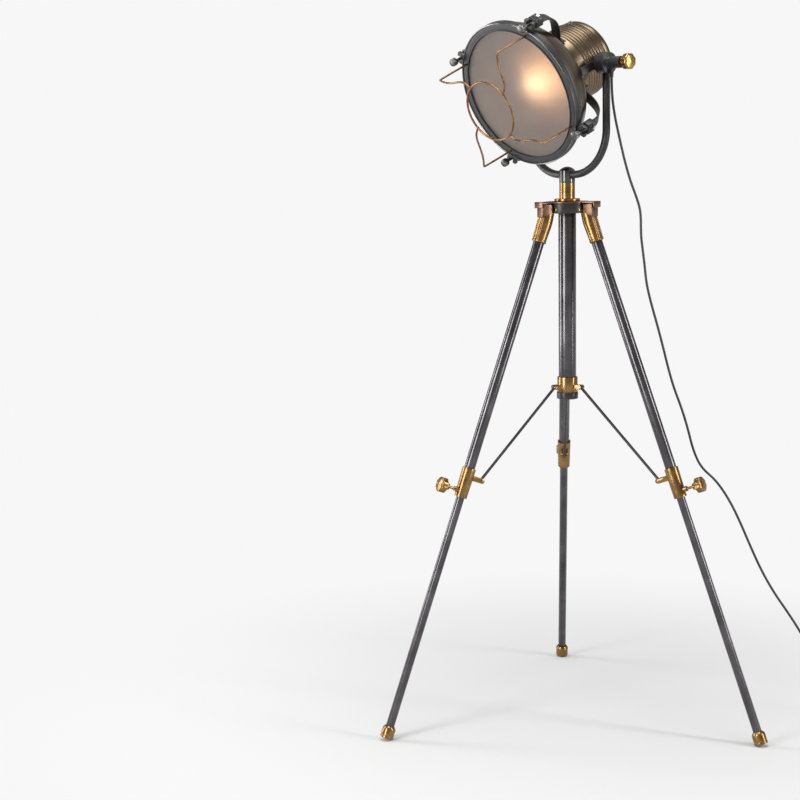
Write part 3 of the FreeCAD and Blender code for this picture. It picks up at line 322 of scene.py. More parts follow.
@dataclass(frozen=True)
class Metal:
    """A metal finish: toned patches, fine marks in one lay, and uneven gloss."""

    name: str
    tone: Tone
    roughness: float
    lay: Lay = Lay.CAST
    local: Matrix = HERE
    uneven: float = 0.10
    patch_scale: float = 26.0
    mark_scale: float = 420.0
    mark_depth: float = 0.000006

    def paint(self) -> Material:
        """Make the material."""
        paint = Paint(self.name)
        here = fine = broad = paint.place(self.local)
        detail, grain = 4.0, 0.6
        if self.lay is Lay.TURNED:
            fine, broad, grain = paint.round_place(here, 0.012), paint.round_place(here, 0.006), 0.65
        elif self.lay is Lay.DRAWN:
            fine, broad = (paint.stretched(here, (1.0, 1.0, share)) for share in (0.01, 0.05))
            detail, grain = 2.0, 0.5
        marks = paint.noise(fine, self.mark_scale, detail, grain)
        bands = paint.noise(broad, self.mark_scale * 0.22, 2.0)
        patches = paint.noise(here, self.patch_scale)
        tone = patches * 0.60 + bands * 0.25 + marks * 0.15
        colour = paint.ramp(tone, list(zip((0.30, 0.50, 0.72), self.tone.value)))
        gloss = (patches - 0.5) * self.uneven * 1.6 + (bands - 0.5) * self.uneven + self.roughness
        normal = paint.bump(marks * 0.6 + bands * 0.4, self.mark_depth)
        return paint.finish(Base_Color=colour, Metallic=1.0, Roughness=gloss, Normal=normal)


@dataclass(frozen=True)
class Enamel:
    """A satin stoved enamel with a faint orange peel and rubbed patches."""

    name: str
    base: Colour
    worn: Colour
    roughness: float
    peel_scale: float = 260.0

    def paint(self) -> Material:
        """Make the material."""
        paint = Paint(self.name)
        here = paint.place()
        peel = paint.noise(here, self.peel_scale, 2.0, 0.5)
        rub = paint.noise(here, 34.0, 5.0, 0.66)
        worn = rub.smoothstep(0.52, 0.80)
        colour = paint.mix(worn, self.base, self.worn)
        gloss = (rub - 0.5) * 0.14 + (peel - 0.5) * 0.04 + self.roughness
        normal = paint.bump(peel, 0.000012)
        return paint.finish(Base_Color=colour, Roughness=gloss, Normal=normal, Specular_IOR_Level=0.32)


@dataclass(frozen=True)
class Rubber:
    """A matt or satin sheath with fine dust and scuffs."""

    name: str
    base: Colour
    dust: Colour
    roughness: float

    def paint(self) -> Material:
        """Make the material."""
        paint = Paint(self.name)
        here = paint.place()
        grain = paint.noise(here, 900.0, 2.0, 0.5)
        scuff = paint.noise(here, 45.0, 4.0, 0.6)
        colour = paint.mix(scuff.smoothstep(0.5, 0.8), self.base, self.dust)
        gloss = (scuff - 0.5) * 0.2 + self.roughness
        return paint.finish(Base_Color=colour, Roughness=gloss, Normal=paint.bump(grain, 0.00003))


@dataclass(frozen=True)
class FrostedGlass:
    """Etched glass that spreads the lamp's light."""

    name: str
    tint: Colour
    roughness: float

    def paint(self) -> Material:
        """Make the material."""
        paint = Paint(self.name)
        here = paint.place(HEAD_FRAME)
        etch = paint.noise(here, 700.0, 2.0, 0.5)
        cloud = paint.noise(here, 12.0, 3.0, 0.5)
        gloss = (etch - 0.5) * 0.12 + (cloud - 0.5) * 0.10 + self.roughness
        return paint.finish(Base_Color=self.tint, Roughness=gloss, Transmission_Weight=0.82,
                            IOR=1.45, Normal=paint.bump(etch, 0.00004))


@dataclass(frozen=True)
class Glow:
    """The bulb's frosted, lit glass, brighter towards its front."""

    name: str
    warm: Colour
    hot: Colour
    strength: float

    def paint(self) -> Material:
        """Make the material."""
        paint = Paint(self.name)
        forward = paint.split(paint.place(HEAD_FRAME))[2].smoothstep(0.05, 0.105)
        colour = paint.mix(forward, self.warm, self.hot)
        frost = paint.noise(paint.place(HEAD_FRAME), 500.0)
        return paint.finish(Base_Color=(0.9, 0.86, 0.78), Roughness=frost * 0.2 + 0.3,
                            Emission_Color=colour, Emission_Strength=self.strength)


# ------------------------------------------------------------------------------ bench

class Bench:
    """The modelling moves that the pieces share, each made with Blender's own operators."""

    @staticmethod
    def clear() -> None:
        """Leave edit mode and deselect everything."""
        if bpy.context.mode != "OBJECT":
            bpy.ops.object.mode_set(mode="OBJECT")
        bpy.ops.object.select_all(action="DESELECT")

    @staticmethod
    def rest() -> None:
        """Write the selected pieces' place, turn and scale into their meshes."""
        bpy.ops.object.transform_apply(location=True, rotation=True, scale=True)

    @staticmethod
    def add(name: str, data: bpy.types.ID) -> Piece:
        """Put an object with this data into the scene."""
        piece = bpy.data.objects.new(name, data)
        bpy.context.scene.collection.objects.link(piece)
        return piece

    @staticmethod
    def pick(piece: Piece) -> None:
        """Select one piece alone and make it active."""
        Bench.clear()
        piece.select_set(True)
        bpy.context.view_layer.objects.active = piece

    @staticmethod
    def lathe(name: str, profile: Sequence[tuple[float, float]], segments: int = 96,
              closed: bool = True) -> Piece:
        """Turn a profile about Z by extruding one ring after another.

        Args:
            name: The piece's name.
            profile: (radius, height) corners in millimetres; a radius of 0 closes a pole.
            segments: The number of steps round the axis.
            closed: Whether the last corner joins the first, as on a ring or a shell.

        Returns:
            The turned piece, at the origin.
        """
        Bench.clear()
        smallest = 0.02
        corners = [(max(radius, smallest) * MM, height * MM) for radius, height in profile]
        if closed and profile[0][0] > 0:
            corners.append(corners[0])
        radius, height = corners[0]
        bpy.ops.mesh.primitive_circle_add(vertices=segments, radius=radius, location=(0.0, 0.0, height))
        piece = bpy.context.active_object
        piece.name = name
        Bench.rest()
        bpy.ops.object.mode_set(mode="EDIT")
        bpy.ops.mesh.select_all(action="SELECT")
        for following, level in corners[1:]:
            bpy.ops.mesh.extrude_region_move(
                TRANSFORM_OT_translate={"value": (0.0, 0.0, level - height)})
            factor = following / radius
            bpy.ops.transform.resize(value=(factor, factor, 1.0), center_override=(0.0, 0.0, level))
            radius, height = following, level
        bpy.ops.mesh.select_all(action="SELECT")
        bpy.ops.mesh.remove_doubles(threshold=0.05 * MM)
        bpy.ops.mesh.normals_make_consistent(inside=False)
        bpy.ops.object.mode_set(mode="OBJECT")
        return piece

    @staticmethod
    def box(name: str, size: Point, centre: Point) -> Piece:
        """Add a block by its size and centre, in millimetres."""
        Bench.clear()
        bpy.ops.mesh.primitive_cube_add(size=1.0, location=tuple(v * MM for v in centre))
        piece = bpy.context.active_object
        piece.name = name
        piece.scale = tuple(v * MM for v in size)
        Bench.rest()
        return piece

    @staticmethod
    def modify(piece: Piece, kind: str, **settings: object) -> Piece:
        """Add a modifier with its settings and apply it."""
        Bench.pick(piece)
        modifier = piece.modifiers.new(kind.lower(), kind)
        for key, setting in settings.items():
            setattr(modifier, key, setting)
        bpy.ops.object.modifier_apply(modifier=modifier.name)
        return piece

    @staticmethod
    def bevel(piece: Piece, width: float, segments: int = 2, angle: float = 28.0) -> Piece:
        """Round the edges that are sharper than an angle; the width is in millimetres."""
        return Bench.modify(piece, "BEVEL", width=width * MM, segments=segments, limit_method="ANGLE",
                            angle_limit=math.radians(angle), harden_normals=False)

    @staticmethod
    def carve(piece: Piece, tool: Piece) -> Piece:
        """Cut a tool out of a piece and throw the tool away."""
        Bench.modify(piece, "BOOLEAN", operation="DIFFERENCE", object=tool, solver="EXACT")
        bpy.data.objects.remove(tool, do_unlink=True)
        return piece

    @staticmethod
    def smooth(piece: Piece, angle: float = 32.0) -> Piece:
        """Shade smooth below an angle."""
        Bench.pick(piece)
        bpy.ops.object.shade_smooth_by_angle(angle=math.radians(angle))
        return piece

    @staticmethod
    def settle(piece: Piece, local: Matrix) -> Piece:
        """Move a piece from its own frame into the row frame, with its place in its mesh."""
        Bench.pick(piece)
        piece.matrix_world = local
        Bench.rest()
        return piece

    @staticmethod
    def twin(piece: Piece, name: str, turn: Matrix) -> Piece:
        """Copy a piece with its own mesh and move the copy by a matrix."""
        Bench.pick(piece)
        bpy.ops.object.duplicate()
        copy = bpy.context.active_object
        copy.name = name
        return Bench.settle(copy, turn)

    @staticmethod
    def refine(node: str, name: str, width: float = 0.0) -> Piece:
        """Copy a CAD node with its corners merged, its sharp edges rounded and its curves shaded smooth.

        Args:
            node: The CAD node's name.
            name: The new piece's name.
            width: The rounding's width in millimetres, or 0 for none.

        Returns:
            The refined copy.
        """
        piece = Bench.add(name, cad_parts[node].data.copy())
        Bench.pick(piece)
        bpy.ops.object.mode_set(mode="EDIT")
        bpy.ops.mesh.select_all(action="SELECT")
        bpy.ops.mesh.remove_doubles(threshold=0.004 * MM)
        if width:
            bpy.ops.mesh.dissolve_limited(angle_limit=math.radians(0.6))
        bpy.ops.object.mode_set(mode="OBJECT")
        if width:
            Bench.bevel(piece, width, 2, 38.0)
        return Bench.smooth(piece, 34.0)

    @staticmethod
    def band(name: str, points: Sequence[tuple[float, float]], width: float, thickness: float) -> Piece:
        """Bend a flat band with rounded edges along points in the XZ plane, in millimetres."""
        route = metres([(across, along, 0.0) for across, along in points])
        piece = Bench.spline(name, route, thickness / 2 * MM, 8, 2, (width - thickness) / 2 * MM)
        return Bench.settle(Bench.solid_wire(piece), turned(90.0, "X"))

    @staticmethod
    def squeeze(piece: Piece, chosen: Callable[[Vector], bool], factors: Point,
                shift: Point = (0.0, 0.0, 0.0)) -> Piece:
        """Scale some of a piece's corners about the origin, then shift them.

        Args:
            piece: The piece.
            chosen: Says of a corner's place whether it moves.
            factors: The scale by axis.
            shift: The shift in metres.

        Returns:
            The piece.
        """
        Bench.pick(piece)
        for part in (*piece.data.edges, *piece.data.polygons):
            part.select = False
        for vertex in piece.data.vertices:
            vertex.select = chosen(vertex.co)
        bpy.ops.object.mode_set(mode="EDIT")
        bpy.ops.mesh.select_mode(type="VERT")
        bpy.ops.transform.resize(value=factors, center_override=(0.0, 0.0, 0.0))
        if any(shift):
            bpy.ops.transform.translate(value=shift)
        bpy.ops.object.mode_set(mode="OBJECT")
        return piece

    @staticmethod
    def join(name: str, pieces: Sequence[Piece]) -> Piece:
        """Join pieces into one object."""
        Bench.clear()
        for piece in pieces:
            piece.select_set(True)
        bpy.context.view_layer.objects.active = pieces[0]
        bpy.ops.object.join()
        joined = bpy.context.active_object
        joined.name = name
        return joined

    @staticmethod
    def spread(master: Piece, name: str, turns: Sequence[Matrix]) -> Piece:
        """Join copies of a piece, one moved by each matrix, and throw the original away."""
        copies = [Bench.twin(master, f"{name}_copy", turn) for turn in turns]
        bpy.data.objects.remove(master, do_unlink=True)
        return Bench.join(name, copies)

    @staticmethod
    def spline(name: str, points: Sequence[Point], radius: float, steps: int = 8, sides: int = 3,
               spread: float = 0.0) -> Piece:
        """Draw a smooth curve through the neighbourhood of its control points.

        Args:
            name: The piece's name.
            points: Control points in metres.
            radius: The wire's radius in metres.
            steps: Steps between control points.
            sides: The bevel's resolution.
            spread: How far a flat band reaches to either side, or 0 for a round wire.

        Returns:
            The curve object.
        """
        line = bpy.data.curves.new(name, "CURVE")
        line.dimensions = "2D" if spread else "3D"
        line.extrude = spread
        line.bevel_depth = radius
        line.bevel_resolution = sides
        line.use_fill_caps = True
        thread = line.splines.new("NURBS")
        thread.points.add(len(points) - 1)
        for control, place in zip(thread.points, points):
            control.co = (*place, 1.0)
        thread.order_u = 3
        thread.use_endpoint_u = True
        thread.resolution_u = steps
        return Bench.add(name, line)

    @staticmethod
    def solid_wire(piece: Piece) -> Piece:
        """Turn a curve into a mesh that keeps its name."""
        Bench.pick(piece)
        name = piece.name
        bpy.ops.object.convert(target="MESH")
        piece = bpy.context.active_object
        piece.name = name
        return Bench.smooth(piece, 50.0)


def dress(piece: Piece, material: Material, body: str, slot: str, *nodes: str) -> Piece:
    """Give a new piece its finish and its body, and hide the CAD nodes that it stands for.

    Args:
        piece: The piece, in place.
        material: Its finish.
        body: The CAD body that it moves with.
        slot: The record's material slot; not used.
        nodes: The CAD nodes that it replaces.

    Returns:
        The piece.
    """
    piece.data.materials.clear()
    piece.data.materials.append(material)
    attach(piece, body)
    if nodes:
        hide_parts(*nodes)
    LOG.info("piece %s rides on %s", piece.name, body)
    return piece


def refined(node: str, name: str, width: float, material: Material, body: str, slot: str) -> Piece:
    """Refine a CAD node's copy, with edges rounded by a width in millimetres, and dress it."""
    return dress(Bench.refine(node, name, width), material, body, slot, node)


def coat(material: Material, *nodes: str) -> None:
    """Give CAD nodes a finish.

    Args:
        material: The finish.
        nodes: The nodes' names.
    """
    for name in nodes:
        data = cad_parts[name].data
        if not data.materials:
            data.materials.append(material)
        for index in range(len(data.materials)):
            data.materials[index] = material
        LOG.info("node %s wears %s", name, material.name)


# ------------------------------------------------------------------------------ studio

@dataclass
class Studio:
    """Camera, floor and soft lights."""

    eye: Point = (3.01353, -2.97794, 1.31627)
    right: Point = (0.58526843, 0.81052500, -0.02258485)
    up: Point = (-0.09467601, 0.09597429, 0.99087103)
    forward: Point = (-0.80529331, 0.57778729, -0.13290800)
    lens: float = 82.427
    shift: float = 0.15
    background: float = 0.93
    surround: float = 0.42
    floor_tone: float = 0.575
    floor_radius: float = 40.0
    fade: tuple[float, float] = (0.35, 1.5)

    def place_camera(self) -> None:
        """Make the camera."""
        data = bpy.data.cameras.new("camera")
        data.lens = self.lens
        data.sensor_width = 36.0
        data.shift_x = self.shift
        camera = Bench.add("camera", data)
        back = Vector(self.forward) * -1.0
        turn = Matrix((self.right, self.up, tuple(back))).transposed()
        camera.matrix_world = Matrix.Translation(self.eye) @ turn.to_4x4()
        bpy.context.scene.camera = camera
        LOG.info("camera at %s", self.eye)

    def lay_floor(self) -> None:
        """Lay a pale floor that fades into the backdrop's tone far from the lamp."""
        Bench.clear()
        bpy.ops.mesh.primitive_circle_add(vertices=96, radius=self.floor_radius, fill_type="NGON")
        floor = bpy.context.active_object
        floor.name = "floor"
        paint = Paint("pale_floor")
        reach = paint.split(paint.place())[3].smoothstep(*self.fade)
        tone = self.background
        matt = paint.node("ShaderNodeBsdfPrincipled", None,
                          {"Base Color": (self.floor_tone,) * 3, "Roughness": 0.75})
        glow = paint.node("ShaderNodeEmission", None, {"Color": (tone, tone, tone)})
        blend = paint.node("ShaderNodeMixShader", None,
                           {0: reach, 1: matt.outputs[0], 2: glow.outputs[0]})
        paint.tree.links.new(blend.outputs[0], paint.output.inputs["Surface"])
        floor.data.materials.append(paint.material)

    def light_world(self) -> None:
        """Fill the room with soft light, seen by the camera as the backdrop's tone."""
        world = bpy.data.worlds.new("soft_room")
        bpy.context.scene.world = world
        world.use_nodes = True
        tree = world.node_tree
        tree.nodes.clear()
        path = tree.nodes.new("ShaderNodeLightPath")
        mix = tree.nodes.new("ShaderNodeMixShader")
        output = tree.nodes.new("ShaderNodeOutputWorld")
        tree.links.new(path.outputs["Is Camera Ray"], mix.inputs[0])
        for slot, tone in ((1, self.surround), (2, self.background)):
            light = tree.nodes.new("ShaderNodeBackground")
            light.inputs["Color"].default_value = (tone, tone, tone, 1.0)
            tree.links.new(light.outputs[0], mix.inputs[slot])
        tree.links.new(mix.outputs[0], output.inputs[0])
        bpy.context.scene.view_settings.view_transform = "Standard"

    def hang_light(self, name: str, place: Point, aim: Point, size: tuple[float, float],
                   power: float) -> None:
        """Hang one soft box.

        Args:
            name: The light's name.
            place: Where it hangs, in metres.
            aim: The point that it faces.
            size: Its width and height in metres.
            power: Its power in watts.
        """
        data = bpy.data.lights.new(name, "AREA")
        data.shape = "RECTANGLE"
        data.size, data.size_y = size
        data.energy = power
        lamp = Bench.add(name, data)
        lamp.location = place
        lamp.rotation_mode = "QUATERNION"
        lamp.rotation_quaternion = (Vector(aim) - Vector(place)).to_track_quat("-Z", "Y")
        lamp.visible_camera = False

    def build(self) -> None:
        """Make everything round the lamp."""
        self.lay_floor()
        self.light_world()
        middle = (0.0, 0.0, 1.0)
        for light in (("key_box", (0.1, -3.4, 1.55), middle, (0.8, 3.1), 85.0),
                      ("side_strip", (2.7, 1.3, 1.5), middle, (0.40, 3.0), 60.0),
                      ("back_strip", (-2.3, -1.6, 1.5), middle, (0.6, 3.0), 50.0),
                      ("top_box", (0.3, -0.4, 4.2), (0.0, 0.0, 0.8), (2.4, 2.4), 110.0)):
            self.hang_light(*light)


# ------------------------------------------------------------------------------ cord

@dataclass
class Cord:
    """The mains lead: hanging run, floor coil, strain relief and plug."""

    radius: float = 2.75
    coil_centre: tuple[float, float] = (449.8, 579.6)
    inner: float = 25.3
    middle: float = 31.0
    outer: float = 36.8
    low: float = 2.8
    high: float = 8.45
    steps_per_turn: int = 16
    coil_turns: float = 4.335
    start_turn: float = -30.6
    spline_shrink: float = 1.013

    def hanging_route(self) -> list[Point]:
        """Give the route's listed points from the gland to the coil, in millimetres."""
        return [
            (138, 0, 1467.5), (138, 0, 1435), (143, 3, 1388), (149, 12, 1338), (155, 22, 1288),
            (162, 34, 1240), (170, 47.5, 1200), (174.3, 54.7, 1170), (174.3, 54.7, 1122),
            (176.4, 58.1, 1090), (178.9, 62.4, 1052), (181, 65.9, 1012), (186.6, 75.3, 968),
            (193.7, 87.4, 920), (200.4, 98.5, 872), (206.5, 108.9, 824), (213.6, 120.9, 776),
            (222.8, 136.4, 730), (230.5, 149.3, 682), (236.6, 159.6, 634), (246.3, 175.9, 592),
            (264.7, 206.9, 561), (281.5, 235.3, 511), (294.8, 257.6, 457), (307, 278.3, 401),
            (320.3, 300.6, 345), (335.6, 326.4, 293), (350.9, 352.2, 250), (365.2, 376.3, 207),
            (379.5, 400.4, 158), (392.8, 422.7, 110), (407.1, 446.8, 66), (423.4, 474.3, 32),
            (442.3, 506.2, 11), (462.2, 539.7, 2.8), (476.5, 563.8, 2.8),
        ]

    def coil_point(self, turns: float) -> Point:
        """Give a point of the coil.

        The lead starts in the middle of the low layer, steps inwards, climbs, works back outwards on
        the high layer and leaves over its own start on the outside.

        Args:
            turns: How many turns the lead has made.

        Returns:
            The point in millimetres.
        """
        step = int(turns)
        part = turns - step
        shift = min(max((part - 0.45) / 0.38, 0.0), 1.0)
        shift = shift * shift * (3.0 - 2.0 * shift)
        spread = math.sqrt(max(0.0, 1.0 - (1.0 - shift) ** 2))
        reach, level = {
            0: (self.middle + (self.inner - self.middle) * shift, self.low),
            1: (self.inner, self.low + (self.high - self.low) * shift),
            2: (self.inner + (self.middle - self.inner) * spread, self.high),
            3: (self.middle + (self.outer - self.middle) * spread, self.high),
            4: (self.outer, self.high - 1.0 * part),
        }[step]
        angle = math.radians(self.start_turn + 360.0 * turns)
        reach *= self.spline_shrink
        return (self.coil_centre[0] + reach * math.cos(angle),
                self.coil_centre[1] + reach * math.sin(angle), level)

    def points(self) -> list[Point]:
        """Give all control points of the lead, in metres."""
        route = self.hanging_route()
        count = int(self.coil_turns * self.steps_per_turn)
        route += [self.coil_point(index / self.steps_per_turn) for index in range(1, count)]
        route += [(451, 616.6, 7.8), (441, 615.2, 7.4), (429, 611.6, 7), (419, 610.6, 7)]
        return metres(route)

    def build(self) -> None:
        """Make the lead, its strain relief and the plug's grip."""
        sheath = Rubber("lead_sheath", (0.012, 0.012, 0.013), (0.03, 0.03, 0.03), 0.42).paint()
        moulded = Rubber("moulded_black", (0.014, 0.014, 0.015), (0.04, 0.04, 0.04), 0.5).paint()
        pins = Metal("plug_nickel", Tone.PLATED, 0.25).paint()
        points = self.points()
        lead = Bench.spline("power_cord", points, 0.0)
        line = bpy.data.meshes.new_from_object(lead)
        lead.data.bevel_depth = self.radius * MM
        lead = Bench.solid_wire(lead)
        lead.data.materials.append(sheath)
        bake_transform(lead)
        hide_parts("cord_upper", "cord_lower", "cord_coil")
        plug = self.build_plug(moulded)
        relief = self.build_relief(moulded)
        coat(sheath, "cord_tie")
        coat(pins, "plug_pins")
        2.0 * self.radius * MM

    def build_relief(self, material: Material) -> Piece:
        """Make the ribbed taper that takes the lead's bend under the yoke's boss."""
        profile = [(2.9, 0), (4, 0)]
        for ring in range(4):
            base, reach = 1.6 + ring * 3.4, 4.05 + ring * 0.22
            profile += [(reach, base), (reach - 0.7, base + 0.5), (reach - 0.6, base + 1.7),
                        (reach + 0.1, base + 2.2)]
        profile += [(4.9, 16), (5, 20), (2.9, 20)]
        piece = Bench.smooth(Bench.lathe("strain_relief", profile, 48), 40.0)
        Bench.settle(piece, moved(138.0, 0.0, 1467.6))
        return dress(piece, material, "yoke", "rubber_seal", "cord_gland")

    def build_plug(self, material: Material) -> Piece:
        """Make the flat plug with its grip ridges and short neck."""
        side, level = 610.6, 7.0
        body = Bench.bevel(Bench.box("plug_grip", (38, 34, 14), (386.8, side, level)), 4.6, 4)
        neck = Bench.lathe("plug_neck", ((2.8, 0), (3.6, 0), (4.9, 12), (5.2, 18), (2.8, 18)), 40)
        Bench.settle(neck, moved(422.0, side, level) @ turned(-90.0, "Y"))
        ridges = [Bench.modify(Bench.box("grip_ridge", (1.6, 22, 13.6), (391.0 + 3.6 * index, side, level)),
                               "BEVEL", width=0.6 * MM, segments=2) for index in range(4)]
        plug = Bench.smooth(Bench.join("plug_moulding", [body, neck, *ridges]), 35.0)
        return dress(plug, material, "stand", "cord_black", "plug_body")


# ------------------------------------------------------------------------------ knobs

@dataclass
class Knob:
    """A lobed clamp knob on a flared neck, standing on its frame's XY plane (millimetres)."""

    name: str
    local: Matrix
    tone: Tone
    dia: float = 35.0
    neck_dia: float = 15.0
    neck: float = 9.0
    height: float = 15.0
    lobes: int = 8
    dish: float = 0.925
    stem: float = 0.0
    stem_dia: float = 6.0
    bore: float = 0.0
    pocket: float = 10.4

    def build(self) -> Piece:
        """Turn the knob, press its dishes in and round its edges."""
        half, flare, top = self.dia / 2, self.neck_dia / 2, self.neck + self.height
        profile = [
            (flare, 0), (flare, 1.2), (flare - 0.8, 1.8), (flare - 0.8, 4), (half * 0.62, self.neck - 0.8),
            (half * 0.90, self.neck), (half, self.neck + 1.4), (half, self.neck + self.height * 0.3),
            (half, self.neck + self.height * 0.7), (half, top - 1.6), (half * 0.93, top - 0.2),
            (half * 0.72, top + 0.9), (half * 0.46, top + 1.5), (half * 0.42, top + 0.9),
            (half * 0.2, top + 1.9), (0, top + 2.3),
        ]
        hole, shank = self.bore / 2, self.stem_dia / 2
        if self.bore:
            profile = [(hole, 0), *profile, (0, self.pocket), (hole, self.pocket)]
        else:
            profile = [(0, -self.stem), (shank, -self.stem), (shank, 0), *profile]
        knob = Bench.lathe(f"lobed_{self.name}", profile, self.lobes * 12, closed=bool(self.bore))
        self.press_dishes(knob)
        Bench.smooth(knob, 40.0)
        Bench.settle(knob, self.local)
        finish = Metal(f"{self.name}_brass", self.tone, 0.27, Lay.CAST, self.local, uneven=0.08,
                       patch_scale=90.0, mark_scale=700.0)
        return dress(knob, finish.paint(), self.name, "aged_brass", self.name)

    def press_dishes(self, knob: Piece) -> None:
        """Pull the rim of the turned knob inwards between the lobes."""
        low, reach, step = (self.neck - 0.5) * MM, self.dia / 2 * 0.8 * MM, 2.0 * math.pi / self.lobes

        def ring_of(corner: Vector) -> int:
            """Say how many steps a corner stands from the middle of its dish, or -1 off the rim."""
            turn = math.atan2(corner.y, corner.x) % step
            on_rim = corner.z > low and corner.xy.length > reach
            return round(min(turn, step - turn) / (step / 12)) if on_rim else -1

        for ring, share in enumerate((1.0, 0.92, 0.66, 0.3)):
            factor = 1.0 - (1.0 - self.dish) * share
            Bench.squeeze(knob, lambda corner: ring_of(corner) == ring, (factor, factor, 1.0))


# ------------------------------------------------------------------------------ head

@dataclass
class Head:
    """The searchlight head: housing, bell, rim, glass, guard and clamps (millimetres, on the head's axis)."""

    housing: float = 84.0
    front: float = 58.0
    ribs: int = 7
    rib_pitch: float = 8.5
    bell: float = 161.0
    bell_front: float = 154.0
    bell_arc: float = 112.0
    rim: float = 167.7
    rim_back: float = 146.0
    opening: float = 149.0
    clamp_radius: float = 180.2
    strap_width: float = 26.0
    strap_thickness: float = 3.2
    wire: float = 2.25
    guard_foot: float = 154.5
    guard_front: float = 254.0
    guard_ring: float = 67.6
    knurl: float = 0.93

    def finishes(self) -> None:
        """Make the head's finishes."""
        self.dark_brass = Metal("dark_brass_turned", Tone.ANTIQUE, 0.30, Lay.TURNED, HEAD_FRAME,
                                uneven=0.08, patch_scale=15.0, mark_scale=380.0, mark_depth=0.00001).paint()
        self.black = Enamel("head_enamel", (0.020, 0.019, 0.020), (0.042, 0.040, 0.039), 0.38).paint()
        self.wire_metal = Metal("guard_copper", Tone.WIRE, 0.28, Lay.CAST, HEAD_FRAME, uneven=0.09,
                                patch_scale=60.0, mark_scale=500.0).paint()
        # The rim lip's lighter grey metal is a painted highlight on the black enamel chamfer.
        self.lip_painted_highlight = Metal("rim_rubbed_edge", Tone.RUBBED, 0.20, Lay.TURNED, HEAD_FRAME).paint()
        self.steel = Metal("screw_steel", Tone.STEEL, 0.24, Lay.CAST, HEAD_FRAME).paint()

    def build(self) -> None:
        """Make every piece of the head."""
        self.finishes()
        self.build_housing()
        self.build_bell()
        self.build_rim()
        self.build_guard()
        self.build_clamp_screws()
        self.build_inside()
        self.build_straps()
        refined("clamp_blocks", "ridged_blocks", 0.7, self.black, "head", "satin_black")
        refined("trunnion_bars", "trunnion_straps", 1.0, self.black, "head", "satin_black")
        coat(self.steel, "head_screws")

    def turned_piece(self, name: str, profile: Sequence[tuple[float, float]], width: float,
                     material: Material, slot: str, *nodes: str) -> Piece:
        """Turn a piece about the head's axis and dress it."""
        piece = Bench.lathe(name, profile, 160)
        if width:
            Bench.bevel(piece, width, 2)
        Bench.smooth(piece, 30.0)
        Bench.settle(piece, HEAD_FRAME)
        return dress(piece, material, "head", slot, *nodes)

    def build_housing(self) -> None:
        """Make the ribbed drum and its rounded tail."""
        outer, inner = self.housing, self.housing - 2.0
        profile = [(inner, -44), (outer, -44), (outer, -39)]
        for rib in range(self.ribs):
            low = -34.0 + self.rib_pitch * rib
            profile += [(outer + out, low + up) for out, up in (
                (0, -0.2), (1.9, 1.2), (2.5, 2.6), (2.3, 4.4), (1, 6), (0, 6.8))]
        profile += [(outer, self.front - 5.0), (inner, self.front - 5.0)]
        self.turned_piece("housing_drum", profile, 0.3, self.dark_brass, "dark_brass", "rear_housing")
        bend = [(outer - 13.0 + 13.0 * math.sin(math.radians(a)), -52.0 - 13.0 * math.cos(math.radians(a)))
                for a in range(0, 91, 10)]
        tail = [(0, -63), (20, -63), (22, -63.6), (24, -65), (46, -65), *bend, (outer, -45.2),
                (outer - 1, -44.2), (outer - 2.6, -44.2), (outer - 2.6, -52), (outer - 6, -60),
                (outer - 14, -62.6), (24, -62.6), (22, -61), (0, -61)]
        self.turned_piece("housing_tail", tail, 0.25, self.dark_brass, "dark_brass", "rear_cap")

    def build_bell(self) -> None:
        """Make the domed bell with its rolled seam near the rim."""
        foot, mouth, start, end, radius = self.housing + 1.6, self.bell, 60.0, 142.0, self.bell_arc
        chord = Vector((mouth - foot, end - start))
        side = Vector((-chord.y, chord.x)).normalized()
        rise = math.sqrt(radius ** 2 - (chord.length / 2) ** 2)
        centre = Vector(((foot + mouth) / 2, (start + end) / 2)) + side * rise
        first = math.atan2(start - centre.y, foot - centre.x)
        last = math.atan2(end - centre.y, mouth - centre.x)
        steps = 26
        angles = [first + (last - first) * index / steps for index in range(steps + 1)]
        arc = [(centre.x + radius * math.cos(a), centre.y + radius * math.sin(a)) for a in angles]
        wall = [(x - 1.5, y + 1.2) for x, y in reversed(arc)]
        (near, low), (out, high), edge = arc[-3:]
        seam = [*arc[:-3], (near + 0.1, low), (near + 0.9, low + 0.6), (out + 0.8, high), edge]
        profile = [(self.housing + 0.1, 52), (foot + 0.9, 52), (foot + 1.2, 53.2), (foot + 0.9, 57),
                   (foot, 58), *seam, (mouth, self.bell_front), (mouth - 1.5, self.bell_front), *wall,
                   (self.housing + 0.1, 60)]
        self.turned_piece("bell_spinning", profile, 0.0, self.dark_brass, "dark_brass", "bell")

